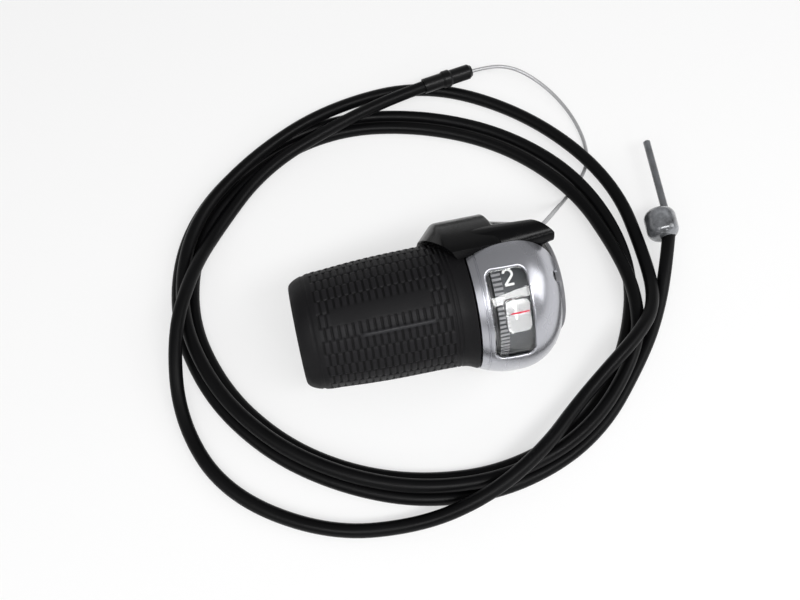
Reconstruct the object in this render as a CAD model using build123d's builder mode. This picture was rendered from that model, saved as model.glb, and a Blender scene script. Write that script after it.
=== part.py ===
"""Twist grip shifter with its coiled shift cable, in millimetres.

The bore axis is X and points inboard, Z is up and the origin is the centre of
the bore at the inboard end face. Angles around the bore run from +Y towards +Z.
"""
import os
from math import acos, cos, degrees, pi, radians, sin, tan

from build123d import *

# Clearances
RUN_GAP = 0.3
RIM_GAP = 0.5
SEAT_GAP = 0.1
PART_GAP = 0.1
SLIP_GAP = 0.05

# Walls and steps stacked outwards from the handlebar
BAR_BORE_R = 11.15
TUBE_GAP = 0.35
TUBE_WALL = 1.7
NECK_STEP = 0.5
HUB_STEP = 0.3
SPOOL_CORE = 1.5
SPOOL_LIP = 1.8
DRUM_RISE = 1.4
DRUM_GAP = 2.0
WALL = 1.8
COLLAR_WALL = 2.45
FLANGE_WIDTH = 2.6

TUBE_BORE_R = BAR_BORE_R + TUBE_GAP
TUBE_R = TUBE_BORE_R + TUBE_WALL
NECK_R = TUBE_R + NECK_STEP
HUB_R = TUBE_R + HUB_STEP
SPOOL_WIRE_R = HUB_R + SPOOL_CORE
SPOOL_R = SPOOL_WIRE_R + SPOOL_LIP
DRUM_R = SPOOL_R + DRUM_RISE
DOME_R = DRUM_R + DRUM_GAP + WALL
LIP_R = NECK_R + RUN_GAP
COLLAR_R = BAR_BORE_R + COLLAR_WALL
FLANGE_R = COLLAR_R + FLANGE_WIDTH

# Housing dome: an arc at the front, a short level top and a round inboard corner
FRONT_X = -25.2
FRONT_DROP = 2.6
DOME_TOP_FROM = -15.0
DOME_TOP_TO = -13.5
DOME_END_X = -1.0
CORNER_R = 13.5
LIP = 0.8
COLLAR_FRONT_X = -14.0
COLLAR_EDGE = 0.5
FLANGE_FROM = -8.6
FLANGE_TO = -5.2
PART_ANGLE = 151.0
PART_OFFSET = 6.1
FRONT_R = DOME_R - FRONT_DROP

# The housing draws in behind the hump, so that the cover stands proud of it
RELIEF_X = -14.6
RELIEF_RISE = 2.5
RELIEF_SLOPE = 0.8
RELIEF_END_DROP = 0.5
RELIEF_R = DRUM_R + RELIEF_RISE
RELIEF_END_R = DRUM_R - RELIEF_END_DROP

# Flat under the housing, on which it lies
FLOOR_CUT = 2.0
FLOOR_Z = FLOOR_CUT - DOME_R

# Hump on the far side and its hood over the grip's flare
HUMP_ANGLE = 15.0
HUMP_SHIFT = 2.0
HUMP_DROP = 0.8
HUMP_FROM = -30.3
HUMP_TO = -16.6
HUMP_BACK = 8.0
HUMP_BACK_DROP = 2.4
HUMP_TAIL = 4.0
HUMP_ROUND = 2.5
HOOD_X = -34.8
HOOD_DROP = 4.4
HOOD_GAP = 0.75
HOOD_SLANT = 0.73
HUMP_R = DOME_R - HUMP_DROP

# Cable nose, cut off slantwise where the wire leaves
NOSE_ANGLE = 69.5
NOSE_RISE = 2.45
NOSE_TIP_X = -0.8
NOSE_TIP_R = 3.2
NOSE_CUT_BACK = 2.0
NOSE_CUT_ANGLE = 40.0
NOSE_ROOT_X = -23.0
NOSE_ROOT_R = 6.0
NOSE_ROOT_SINK = 5.5
NOSE_ROOT_ANGLE = 60.0
SOCKET_R = 2.0
SOCKET_DEPTH = 5.2
WIRE_R = 0.6
CHANNEL_R = 1.0
LEAD_BEND_R = 7.0
NOSE_R = DRUM_R + NOSE_RISE

# Window and lens
WINDOW_FROM = -21.9
WINDOW_TO = -11.4
WINDOW_ANGLE = 132.0
WINDOW_CHORD = 24.4
WINDOW_CORNER = 2.2
WINDOW_ROUND = 0.5
GROOVE_X = -23.3
GROOVE_R = 0.3
LENS_SINK = 0.35
PAD_ANGLE = 131.0
PAD_SHIFT = 1.1
PAD_LENGTH = 7.0
PAD_WIDTH = 9.4
PAD_CORNER = 1.8
PAD_RISE = 0.55
PAD_EDGE = 0.3

# Spool, detent wheel and wire head on the twist tube
SPOOL_WALL = 0.8
SPOOL_GROOVE = 1.4
WHEEL_WIDTH = 1.8
TUBE_END_X = -14.6
STEP_ANGLE = 29.0
STEPS = 3
DETENT_ANGLE = 300.0
NOTCH_R = 1.4
NOTCH_RISE = 0.6
NIPPLE_ANGLE = 150.0
NIPPLE_R = 1.5
NIPPLE_LENGTH = 3.6
NIPPLE_EDGE = 0.3
POCKET_DEPTH = 2.0
SPOOL_FROM = FRONT_X + LIP + RUN_GAP
SPOOL_X = SPOOL_FROM + SPOOL_WALL + SPOOL_GROOVE / 2
WHEEL_TO = SPOOL_X + SPOOL_GROOVE / 2 + WHEEL_WIDTH

# Detent leaf
LEAF_RISE = 1.3
LEAF_THICK = 0.4
LEAF_ANGLE = 27.0
LEAF_WIDTH = 1.5
LEAF_INSET = 0.25
LEAF_TAB = 0.7
LEAF_TAB_ANGLE = 26.0
BEAD_GAP = 0.35

# Number drum
DRUM_WALL = 1.0
DRUM_LENGTH = 10.0
DRUM_HUB_WALL = 1.4
DRUM_HUB_LENGTH = 3.0
DRUM_TEETH = 90
TOOTH_GAP = 0.6
TOOTH_DEPTH = 0.35
TOOTH_LENGTH = 2.4
DRUM_FROM = WHEEL_TO + SEAT_GAP * 2
DRUM_TO = DRUM_FROM + DRUM_LENGTH

# Rubber grip
GRIP_END_X = -73.0
RUBBER = 4.65
GRIP_END_DROP = 1.25
GRIP_MID_DROP = 0.25
GRIP_ROUND = 4.5
GRIP_LIP = 1.0
GRIP_MID_X = -51.0
GRIP_FLARE_X = -30.0
FLARE_STEP = 0.1
FLARE_LIFT = 0.25
RIB_FROM = -67.0
RIB_TO = -31.5
RIB_ROWS = 28
RIB_START = 9.3
RIB_GAP = 0.7
RIB_DEPTH = 0.8
END_GROOVE_X = 3.4
END_GROOVE_R = 0.4
GRIP_R = TUBE_R + RUBBER
GRIP_END_R = GRIP_R - GRIP_END_DROP
GRIP_MID_R = GRIP_R - GRIP_MID_DROP
GRIP_FLARE_R = FRONT_R - FLARE_STEP
HOOD_R = GRIP_R + HOOD_GAP

# Clamp screw, nut and shoe
CLAMP_X = -4.6
CLAMP_SCREW_R = 1.9
CLAMP_SCREW_LENGTH = 5.5
NUT_SIDE = 7.0
NUT_THICK = 2.2
NUT_DEPTH = 1.55
SHOE_SIDE = 5.6
SHOE_THICK = 1.2
HEX_ACROSS = 2.0
HEX_DEPTH = 2.2
CLAMP_SCREW_TOP = BAR_BORE_R + SHOE_THICK + SEAT_GAP
NUT_TOP = BAR_BORE_R + SHOE_THICK + NUT_DEPTH

# Thrust washer
WASHER_THICK = 0.5
WASHER_INSET = 0.2

# Cover screws
COVER_SCREW_R = 0.9
COVER_SCREW_HEAD_R = 1.8
COVER_SCREW_HEAD = 1.1
COVER_SCREW_LENGTH = 4.2
COVER_SCREW_FLOOR = 1.2
COVER_SCREW_OUT = 1.8
COVER_SCREW_ANGLES = (108.0, 196.0)
COVER_SCREW_RING_R = COLLAR_R + COVER_SCREW_OUT

# Cable casing and its coil on the floor
CASING_R = 2.0
CORD_BLEND = 0.45
COIL_X = -41.0
COIL_Y = 9.0
CASING_LEAD = 25.8

# Casing ferrule
FERRULE_TIP = (0.8, 88.3)
FERRULE_TURN = 9.6
FERRULE_LENGTH = 17.3
FERRULE_SEAT = 9.0
FERRULE_R = 2.9
FERRULE_H = 7.6
FERRULE_TAPER = 1.1
FERRULE_NECK = 0.4
FERRULE_BAND_FROM = 10.2
FERRULE_BAND_TO = 8.2
FERRULE_SLOPE = 0.7
FERRULE_HOLE_R = 0.8

# Anchor barrel on the casing's far end, set off to one side, and its rod
ANCHOR_R = 4.9
ANCHOR_SHIFT = 2.4
ANCHOR_LENGTH = 10.0
ANCHOR_HOLD = 4.0
ANCHOR_ROUND = 3.0
ROD_TURN = 83.4
ROD_R = 1.15
ROD_LENGTH = 30.0
ROD_HOLD = 4.0
ROD_EDGE = 0.35

# Blocks that cut a shape off are this wide and deep
CUT_WIDTH = 300.0
CUT_DEPTH = 60.0

# Each point: angle around the coil, radius from its centre, height over the floor
COIL = [
    (96, 68.5, 6.8), (120, 66.5, 5.0), (144, 64.5, 3.2), (160, 64.0, 10.0),
    (177, 67.5, 10.6), (196, 73.0, 2.4), (216, 74.5, 2.0), (240, 70.0, 2.0),
    (262, 65.0, 3.5), (280, 62.5, 10.6), (298, 59.6, 10.8), (314, 58.6, 7.4),
    (326, 62.0, 9.2), (337, 68.8, 11.6), (346, 74.6, 8.6), (358, 77.2, 3.4),
    (381, 81.8, 4.4), (407, 84.5, 2.0), (432, 86.0, 2.0), (456, 76.0, 6.8),
    (480, 72.0, 6.2), (504, 72.0, 5.9), (528, 67.3, 5.9), (552, 61.0, 5.9),
    (576, 56.3, 5.9), (600, 54.3, 5.9), (624, 55.8, 5.5), (648, 60.2, 5.4),
    (672, 66.0, 5.7), (696, 70.5, 5.7), (709, 70.3, 6.4), (722, 68.9, 5.4),
    (744, 69.0, 4.3), (768, 69.0, 2.0), (792, 68.0, 2.0), (816, 70.0, 2.0),
    (840, 70.0, 2.0), (864, 69.5, 2.0), (888, 65.0, 2.0), (912, 58.5, 2.0),
    (936, 54.0, 2.0), (960, 52.0, 2.0), (984, 53.0, 2.0), (1008, 57.5, 2.0),
    (1032, 63.5, 2.0), (1056, 68.0, 2.0), (1080, 73.5, 2.0), (1104, 73.8, 4.3),
    (1128, 73.8, 2.0), (1152, 72.8, 2.0), (1176, 74.6, 2.0), (1200, 74.6, 2.0),
    (1224, 74.2, 2.0), (1248, 69.6, 2.0), (1272, 63.4, 2.0), (1296, 58.6, 2.0),
    (1320, 56.6, 2.0), (1344, 58.6, 2.0), (1368, 63.0, 2.0), (1392, 68.4, 2.0),
    (1416, 73.0, 2.0), (1428, 78.0, 2.2), (1437.5, 82.0, 6.8), (1444.9, 87.2, 6.8),
]

# Free inner wire from the nose down to the floor and round to the ferrule
WIRE = [
    (4.8, 16.6, 11.5), (12.8, 28.1, -7.0), (17.0, 34.5, -19.3),
    (29.8, 45.4, -19.3), (32.6, 56.0, -19.3), (30.8, 69.5, -18.7),
    (24.5, 81.5, -17.0), (14.5, 88.5, -13.4),
]
WIRE_START_X = -12.0
WIRE_TURN_X = -4.6
WIRE_TAIL = 2.5


def ring_point(x, radius, angle):
    """Point at a distance and an angle around the bore."""
    return (x, radius * cos(radians(angle)), radius * sin(radians(angle)))


def ring_plane(x, radius, angle):
    """Plane that faces outwards at a point around the bore, its X along the bore."""
    return Plane(origin=ring_point(x, radius, angle), x_dir=(1, 0, 0),
                 z_dir=ring_point(0, 1, angle))


def section_plane(angle):
    """Plane through the bore axis: its X runs along the bore, its Y outwards."""
    return Plane(origin=(0, 0, 0), x_dir=(1, 0, 0),
                 z_dir=(0, -sin(radians(angle)), cos(radians(angle))))


def cord_radii(points):
    """Arc radius at each inner point, from the shorter of its two runs."""
    radii = []
    for first, middle, last in zip(points, points[1:], points[2:]):
        before = Vector(*middle) - Vector(*first)
        after = Vector(*last) - Vector(*middle)
        half_turn = radians(before.get_angle(after)) / 2
        radii.append(CORD_BLEND * min(before.length, after.length) / tan(half_turn))
    return radii


def corner_r(x, inset):
    """Radius of the dome's rounded inboard corner at one place along the bore."""
    reach = CORNER_R - inset
    return DOME_R - CORNER_R + (reach**2 - (x - DOME_TOP_TO)**2)**0.5


# The front half of the dome is an arc that is level at the top of the dome
front_run = DOME_TOP_FROM - FRONT_X
FRONT_ARC_R = (FRONT_DROP**2 + front_run**2) / (2 * FRONT_DROP)


def front_r(x, inset):
    """Radius of the dome's front part at one place along the bore."""
    reach = FRONT_ARC_R - inset
    return DOME_R - FRONT_ARC_R + (reach**2 - (x - DOME_TOP_FROM)**2)**0.5


# Places and planes that follow from the sizes
CAVITY_FRONT = FRONT_X + LIP
COVER_END_X = DOME_END_X - PART_GAP
COVER_WALL_X = FLANGE_TO + SEAT_GAP * 2
COVER_SCREW_X = COVER_WALL_X + COVER_SCREW_FLOOR
HOLE_R = COLLAR_R + RUN_GAP
FRONT_MID_X = (FRONT_X + DOME_TOP_FROM) / 2
CAVITY_MID_X = (CAVITY_FRONT + DOME_TOP_FROM) / 2
LEAF_ROOM_X = WHEEL_TO + SEAT_GAP
LEAF_ROOM_MID_X = (CAVITY_FRONT + LEAF_ROOM_X) / 2
CORNER_MID_X = (DOME_TOP_TO + DOME_END_X) / 2
FLANGE_MID_X = (DOME_TOP_TO + FLANGE_FROM) / 2
WINDOW_X = (WINDOW_FROM + WINDOW_TO) / 2
WINDOW_LENGTH = WINDOW_TO - WINDOW_FROM
SLEEVE_END_X = FRONT_X - RIM_GAP
SOCKET_END_X = NOSE_TIP_X - SOCKET_DEPTH
nose_point = ring_point(0, NOSE_R, NOSE_ANGLE)
nose_section = Plane(origin=nose_point, x_dir=(1, 0, 0), z_dir=(0, 0, 1))
nose_cut = Plane(origin=ring_point(NOSE_TIP_X - NOSE_CUT_BACK, NOSE_R, NOSE_ANGLE),
                 z_dir=(cos(radians(NOSE_CUT_ANGLE)), sin(radians(NOSE_CUT_ANGLE)), 0))
hump_centre = ring_point(0, HUMP_SHIFT, HUMP_ANGLE)
hump_section = Plane(origin=hump_centre, x_dir=(1, 0, 0), z_dir=(0, 0, 1))
hood_cut = Plane(origin=ring_point(HOOD_X, HOOD_R, HUMP_ANGLE),
                 z_dir=ring_point(-1, -HOOD_SLANT, HUMP_ANGLE))
parting = Plane(origin=ring_point(0, PART_OFFSET, PART_ANGLE), x_dir=(1, 0, 0),
                z_dir=ring_point(0, 1, PART_ANGLE))
pocket = Plane(origin=ring_point(SPOOL_X, SPOOL_WIRE_R, NIPPLE_ANGLE), x_dir=(1, 0, 0),
               z_dir=ring_point(0, 1, NIPPLE_ANGLE + 90))
leave_angle = NOSE_ANGLE + degrees(acos(SPOOL_WIRE_R / NOSE_R))
bottom = Plane(origin=(CLAMP_X, 0, 0), x_dir=(1, 0, 0), z_dir=(0, 0, -1))

# Tapered nose that becomes part of the housing
with BuildPart() as nose:
    with BuildSketch(Plane.YZ.offset(NOSE_ROOT_X)):
        with PolarLocations(DOME_R - NOSE_ROOT_SINK, 1, NOSE_ROOT_ANGLE):
            Circle(NOSE_ROOT_R)
    with BuildSketch(Plane.YZ.offset(NOSE_TIP_X)):
        with PolarLocations(NOSE_R, 1, NOSE_ANGLE):
            Circle(NOSE_TIP_R)
    loft()
    with BuildSketch(nose_cut):
        Rectangle(CUT_WIDTH, CUT_WIDTH)
    extrude(amount=CUT_DEPTH, mode=Mode.SUBTRACT)

# Black housing with the clamp collar, hump, hood and nose
with BuildPart() as housing_base:
    with BuildSketch(hump_section) as hump_outline:
        with BuildLine():
            Polyline((HOOD_X, 0), (HOOD_X, HUMP_R - HOOD_DROP), (HUMP_FROM, HUMP_R),
                     (HUMP_TO, HUMP_R), (HUMP_TO + HUMP_BACK, HUMP_R - HUMP_BACK_DROP),
                     (HUMP_TO + HUMP_BACK + HUMP_TAIL, 0), close=True)
        make_face()
        fillet(hump_outline.vertices().sort_by(Axis.Y)[-2:], HUMP_ROUND)
    revolve(axis=Axis(hump_centre, (1, 0, 0)))
    with BuildSketch(hood_cut):
        Rectangle(CUT_WIDTH, CUT_WIDTH)
    extrude(amount=CUT_DEPTH, mode=Mode.SUBTRACT)
    with BuildSketch(Plane.XY):
        with BuildLine():
            Polyline((HOOD_X - CUT_DEPTH, 0), (HOOD_X - CUT_DEPTH, HOOD_R), (GRIP_FLARE_X, HOOD_R),
                     (FRONT_X, GRIP_FLARE_R + RIM_GAP), (FRONT_X, 0), close=True)
        make_face()
    revolve(axis=Axis.X, mode=Mode.SUBTRACT)
    with BuildSketch(Plane.XY):
        with BuildLine():
            Line((FRONT_X, 0), (FRONT_X, FRONT_R))
            ThreePointArc((FRONT_X, FRONT_R), (FRONT_MID_X, front_r(FRONT_MID_X, 0)),
                          (DOME_TOP_FROM, DOME_R))
            Line((DOME_TOP_FROM, DOME_R), (DOME_TOP_TO, DOME_R))
            ThreePointArc((DOME_TOP_TO, DOME_R), (CORNER_MID_X, corner_r(CORNER_MID_X, 0)),
                          (DOME_END_X, corner_r(DOME_END_X, 0)))
            Polyline((DOME_END_X, corner_r(DOME_END_X, 0)), (DOME_END_X, 0), (FRONT_X, 0))
        make_face()
    revolve(axis=Axis.X)
    with BuildSketch(parting):
        Rectangle(CUT_WIDTH, CUT_WIDTH)
    extrude(amount=CUT_DEPTH, mode=Mode.SUBTRACT)
    with BuildSketch(Plane.XY):
        with BuildLine():
            Polyline((RELIEF_X, RELIEF_R), (RELIEF_X - RELIEF_SLOPE * CORNER_R, RELIEF_R + CORNER_R),
                     (0, RELIEF_R + CORNER_R), (0, RELIEF_END_R), (DOME_END_X, RELIEF_END_R),
                     close=True)
        make_face()
    revolve(axis=Axis.X, mode=Mode.SUBTRACT)
    add(nose.part)
    with BuildSketch(Plane.XY):
        with BuildLine():
            Line((CAVITY_FRONT, 0), (CAVITY_FRONT, front_r(CAVITY_FRONT, WALL)))
            ThreePointArc((CAVITY_FRONT, front_r(CAVITY_FRONT, WALL)),
                          (LEAF_ROOM_MID_X, front_r(LEAF_ROOM_MID_X, WALL)),
                          (LEAF_ROOM_X, front_r(LEAF_ROOM_X, WALL)))
            Polyline((LEAF_ROOM_X, front_r(LEAF_ROOM_X, WALL)), (LEAF_ROOM_X, DRUM_R + RIM_GAP),
                     (FLANGE_FROM, DRUM_R + RIM_GAP), (FLANGE_FROM, 0), (CAVITY_FRONT, 0))
        make_face()
    revolve(axis=Axis.X, mode=Mode.SUBTRACT)
    with BuildSketch(Plane.XY):
        with BuildLine():
            Polyline((COLLAR_FRONT_X, 0), (COLLAR_FRONT_X, COLLAR_R), (FLANGE_FROM, COLLAR_R),
                     (FLANGE_FROM, FLANGE_R), (FLANGE_TO, FLANGE_R), (FLANGE_TO, COLLAR_R),
                     (-COLLAR_EDGE, COLLAR_R), (0, COLLAR_R - COLLAR_EDGE), (0, 0), close=True)
        make_face()
    revolve(axis=Axis.X)
    with BuildSketch(Plane(origin=(0, 0, FLOOR_Z), z_dir=(0, 0, -1))):
        Rectangle(CUT_WIDTH, CUT_WIDTH)
    extrude(amount=CUT_DEPTH, mode=Mode.SUBTRACT)
    with BuildSketch(Plane.YZ):
        Circle(BAR_BORE_R)
    extrude(amount=TUBE_END_X, mode=Mode.SUBTRACT)
    with BuildSketch(Plane.YZ.offset(CAVITY_FRONT)):
        Circle(LIP_R)
    extrude(amount=-LIP, mode=Mode.SUBTRACT)
    with BuildSketch(nose_section):
        with BuildLine():
            Polyline((0, 0), (0, SOCKET_R), (SOCKET_END_X, SOCKET_R), (SOCKET_END_X, 0), close=True)
        make_face()
    revolve(axis=Axis(nose_point, (1, 0, 0)), mode=Mode.SUBTRACT)
    with BuildLine():
        FilletPolyline(ring_point(SPOOL_X, SPOOL_WIRE_R, leave_angle),
                       ring_point(SPOOL_X, NOSE_R, NOSE_ANGLE),
                       ring_point(NOSE_TIP_X, NOSE_R, NOSE_ANGLE), radius=LEAD_BEND_R)
    with BuildSketch(Plane(origin=ring_point(NOSE_TIP_X, NOSE_R, NOSE_ANGLE), z_dir=(1, 0, 0))):
        Circle(CHANNEL_R)
    sweep(mode=Mode.SUBTRACT)
    with BuildSketch(bottom.offset(BAR_BORE_R - SHOE_THICK)):
        Rectangle(SHOE_SIDE + SEAT_GAP * 2, SHOE_SIDE + SEAT_GAP * 2)
    extrude(amount=SHOE_THICK * 2 + SEAT_GAP, mode=Mode.SUBTRACT)
    with BuildSketch(bottom.offset(BAR_BORE_R)):
        Circle(CLAMP_SCREW_R + SEAT_GAP * 2)
    extrude(amount=CUT_DEPTH, mode=Mode.SUBTRACT)
    with BuildSketch(bottom.offset(NUT_TOP - SEAT_GAP)):
        with Locations((NUT_SIDE / 2, 0)):
            Rectangle(NUT_SIDE * 2 + SEAT_GAP * 2, NUT_SIDE + SEAT_GAP * 2)
    extrude(amount=NUT_THICK + SEAT_GAP * 2, mode=Mode.SUBTRACT)
    with BuildSketch(Plane.YZ.offset(FLANGE_TO)):
        with PolarLocations(COVER_SCREW_RING_R, 1, COVER_SCREW_ANGLES[0]):
            Circle(COVER_SCREW_R + SLIP_GAP)
        with PolarLocations(COVER_SCREW_RING_R, 1, COVER_SCREW_ANGLES[1]):
            Circle(COVER_SCREW_R + SLIP_GAP)
    extrude(amount=FLANGE_FROM - FLANGE_TO, mode=Mode.SUBTRACT)

# Silver cover over the drum, with the window opening
with BuildPart() as window_cover:
    with BuildSketch(Plane.XY):
        with BuildLine():
            ThreePointArc((FRONT_X, FRONT_R), (FRONT_MID_X, front_r(FRONT_MID_X, 0)),
                          (DOME_TOP_FROM, DOME_R))
            Line((DOME_TOP_FROM, DOME_R), (DOME_TOP_TO, DOME_R))
            ThreePointArc((DOME_TOP_TO, DOME_R), (CORNER_MID_X, corner_r(CORNER_MID_X, 0)),
                          (COVER_END_X, corner_r(COVER_END_X, 0)))
            Polyline((COVER_END_X, corner_r(COVER_END_X, 0)), (COVER_END_X, HOLE_R),
                     (COVER_WALL_X, HOLE_R), (COVER_WALL_X, corner_r(COVER_WALL_X, WALL)))
            ThreePointArc((COVER_WALL_X, corner_r(COVER_WALL_X, WALL)),
                          (FLANGE_MID_X, corner_r(FLANGE_MID_X, WALL)),
                          (DOME_TOP_TO, DOME_R - WALL))
            Line((DOME_TOP_TO, DOME_R - WALL), (DOME_TOP_FROM, DOME_R - WALL))
            ThreePointArc((DOME_TOP_FROM, DOME_R - WALL), (CAVITY_MID_X, front_r(CAVITY_MID_X, WALL)),
                          (CAVITY_FRONT, front_r(CAVITY_FRONT, WALL)))
            Polyline((CAVITY_FRONT, front_r(CAVITY_FRONT, WALL)), (CAVITY_FRONT, LIP_R),
                     (FRONT_X, LIP_R), (FRONT_X, FRONT_R))
        make_face()
    revolve(axis=Axis.X)
    with BuildSketch(Plane.XY):
        with Locations((GROOVE_X, front_r(GROOVE_X, 0))):
            Circle(GROOVE_R)
    revolve(axis=Axis.X, mode=Mode.SUBTRACT)
    with BuildSketch(parting.offset(PART_GAP)):
        Rectangle(CUT_WIDTH, CUT_WIDTH)
    extrude(amount=CUT_DEPTH, mode=Mode.INTERSECT)
    with BuildSketch(ring_plane(WINDOW_X, 0, WINDOW_ANGLE)):
        RectangleRounded(WINDOW_LENGTH, WINDOW_CHORD, WINDOW_CORNER)
    extrude(amount=CUT_DEPTH, mode=Mode.SUBTRACT)
    rim = window_cover.edges(Select.LAST).filter_by(
        lambda edge: Vector(0, edge.center().Y, edge.center().Z).length > DOME_R - WALL / 2)
    fillet(rim, WINDOW_ROUND)
    with BuildSketch(Plane.YZ.offset(NOSE_ROOT_X)):
        with PolarLocations(DOME_R - NOSE_ROOT_SINK, 1, NOSE_ROOT_ANGLE):
            Circle(NOSE_ROOT_R + PART_GAP)
    with BuildSketch(Plane.YZ.offset(NOSE_TIP_X)):
        with PolarLocations(NOSE_R, 1, NOSE_ANGLE):
            Circle(NOSE_TIP_R + PART_GAP)
    loft(mode=Mode.SUBTRACT)
    with BuildSketch(Plane.YZ.offset(COVER_WALL_X)):
        with PolarLocations(COVER_SCREW_RING_R, 1, COVER_SCREW_ANGLES[0]):
            Circle(COVER_SCREW_R + SEAT_GAP)
        with PolarLocations(COVER_SCREW_RING_R, 1, COVER_SCREW_ANGLES[1]):
            Circle(COVER_SCREW_R + SEAT_GAP)
    extrude(amount=COVER_SCREW_FLOOR, mode=Mode.SUBTRACT)
    with BuildSketch(Plane.YZ.offset(COVER_SCREW_X)):
        with PolarLocations(COVER_SCREW_RING_R, 1, COVER_SCREW_ANGLES[0]):
            Circle(COVER_SCREW_HEAD_R + SEAT_GAP * 2)
        with PolarLocations(COVER_SCREW_RING_R, 1, COVER_SCREW_ANGLES[1]):
            Circle(COVER_SCREW_HEAD_R + SEAT_GAP * 2)
    extrude(amount=CUT_DEPTH, mode=Mode.SUBTRACT)

# Clear lens that fills the window, with a raised pad over the current number
with BuildPart() as window_lens:
    with BuildSketch(Plane.XY):
        with BuildLine():
            ThreePointArc((FRONT_X, front_r(FRONT_X, LENS_SINK)),
                          (FRONT_MID_X, front_r(FRONT_MID_X, LENS_SINK)),
                          (DOME_TOP_FROM, DOME_R - LENS_SINK))
            Line((DOME_TOP_FROM, DOME_R - LENS_SINK), (DOME_TOP_TO, DOME_R - LENS_SINK))
            ThreePointArc((DOME_TOP_TO, DOME_R - LENS_SINK),
                          (FLANGE_MID_X, corner_r(FLANGE_MID_X, LENS_SINK)),
                          (FLANGE_FROM, corner_r(FLANGE_FROM, LENS_SINK)))
            Line((FLANGE_FROM, corner_r(FLANGE_FROM, LENS_SINK)),
                 (FLANGE_FROM, corner_r(FLANGE_FROM, WALL)))
            ThreePointArc((FLANGE_FROM, corner_r(FLANGE_FROM, WALL)),
                          (FLANGE_MID_X, corner_r(FLANGE_MID_X, WALL)),
                          (DOME_TOP_TO, DOME_R - WALL))
            Line((DOME_TOP_TO, DOME_R - WALL), (DOME_TOP_FROM, DOME_R - WALL))
            ThreePointArc((DOME_TOP_FROM, DOME_R - WALL), (FRONT_MID_X, front_r(FRONT_MID_X, WALL)),
                          (FRONT_X, front_r(FRONT_X, WALL)))
            Line((FRONT_X, front_r(FRONT_X, WALL)), (FRONT_X, front_r(FRONT_X, LENS_SINK)))
        make_face()
    revolve(axis=Axis.X)
    with BuildSketch(ring_plane(WINDOW_X, 0, WINDOW_ANGLE)):
        RectangleRounded(WINDOW_LENGTH - SEAT_GAP * 2, WINDOW_CHORD - SEAT_GAP * 2,
                         WINDOW_CORNER - SEAT_GAP)
    extrude(amount=CUT_DEPTH, mode=Mode.INTERSECT)
    with BuildSketch(ring_plane(WINDOW_X + PAD_SHIFT, DOME_R - WALL / 2, PAD_ANGLE)):
        RectangleRounded(PAD_LENGTH, PAD_WIDTH, PAD_CORNER)
    extrude(amount=WALL / 2 - LENS_SINK + PAD_RISE)
    pad_top = window_lens.faces().sort_by(Axis((0, 0, 0), ring_point(0, 1, PAD_ANGLE)))[-1]
    chamfer(pad_top.edges(), PAD_EDGE)

# Twist tube with the cable spool and the detent wheel
with BuildPart() as twist_tube:
    with BuildSketch(Plane.XY):
        with BuildLine():
            Polyline((GRIP_END_X + GRIP_LIP, TUBE_BORE_R), (GRIP_END_X + GRIP_LIP, TUBE_R),
                     (SLEEVE_END_X + SEAT_GAP, TUBE_R), (SLEEVE_END_X + SEAT_GAP, NECK_R),
                     (SPOOL_FROM, NECK_R), (SPOOL_FROM, SPOOL_R),
                     (SPOOL_X - SPOOL_GROOVE / 2, SPOOL_R),
                     (SPOOL_X - SPOOL_GROOVE / 2, SPOOL_WIRE_R - WIRE_R - SEAT_GAP),
                     (SPOOL_X + SPOOL_GROOVE / 2, SPOOL_WIRE_R - WIRE_R - SEAT_GAP),
                     (SPOOL_X + SPOOL_GROOVE / 2, SPOOL_R), (WHEEL_TO, SPOOL_R), (WHEEL_TO, HUB_R),
                     (TUBE_END_X, HUB_R), (TUBE_END_X, TUBE_BORE_R), close=True)
        make_face()
    revolve(axis=Axis.X)
    with BuildSketch(Plane.YZ.offset(WHEEL_TO)):
        with PolarLocations(SPOOL_R + NOTCH_RISE, STEPS, DETENT_ANGLE - STEP_ANGLE * (STEPS - 1),
                            STEP_ANGLE * (STEPS - 1), endpoint=True):
            Circle(NOTCH_R)
    extrude(amount=SPOOL_X - WHEEL_TO, mode=Mode.SUBTRACT)
    with BuildSketch(pocket):
        with Locations((0, -POCKET_DEPTH / 2)):
            Rectangle(NIPPLE_R * 2 + SEAT_GAP * 2, NIPPLE_R * 2 + SEAT_GAP * 2 + POCKET_DEPTH)
    extrude(amount=NIPPLE_LENGTH + SEAT_GAP, mode=Mode.SUBTRACT)

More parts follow.
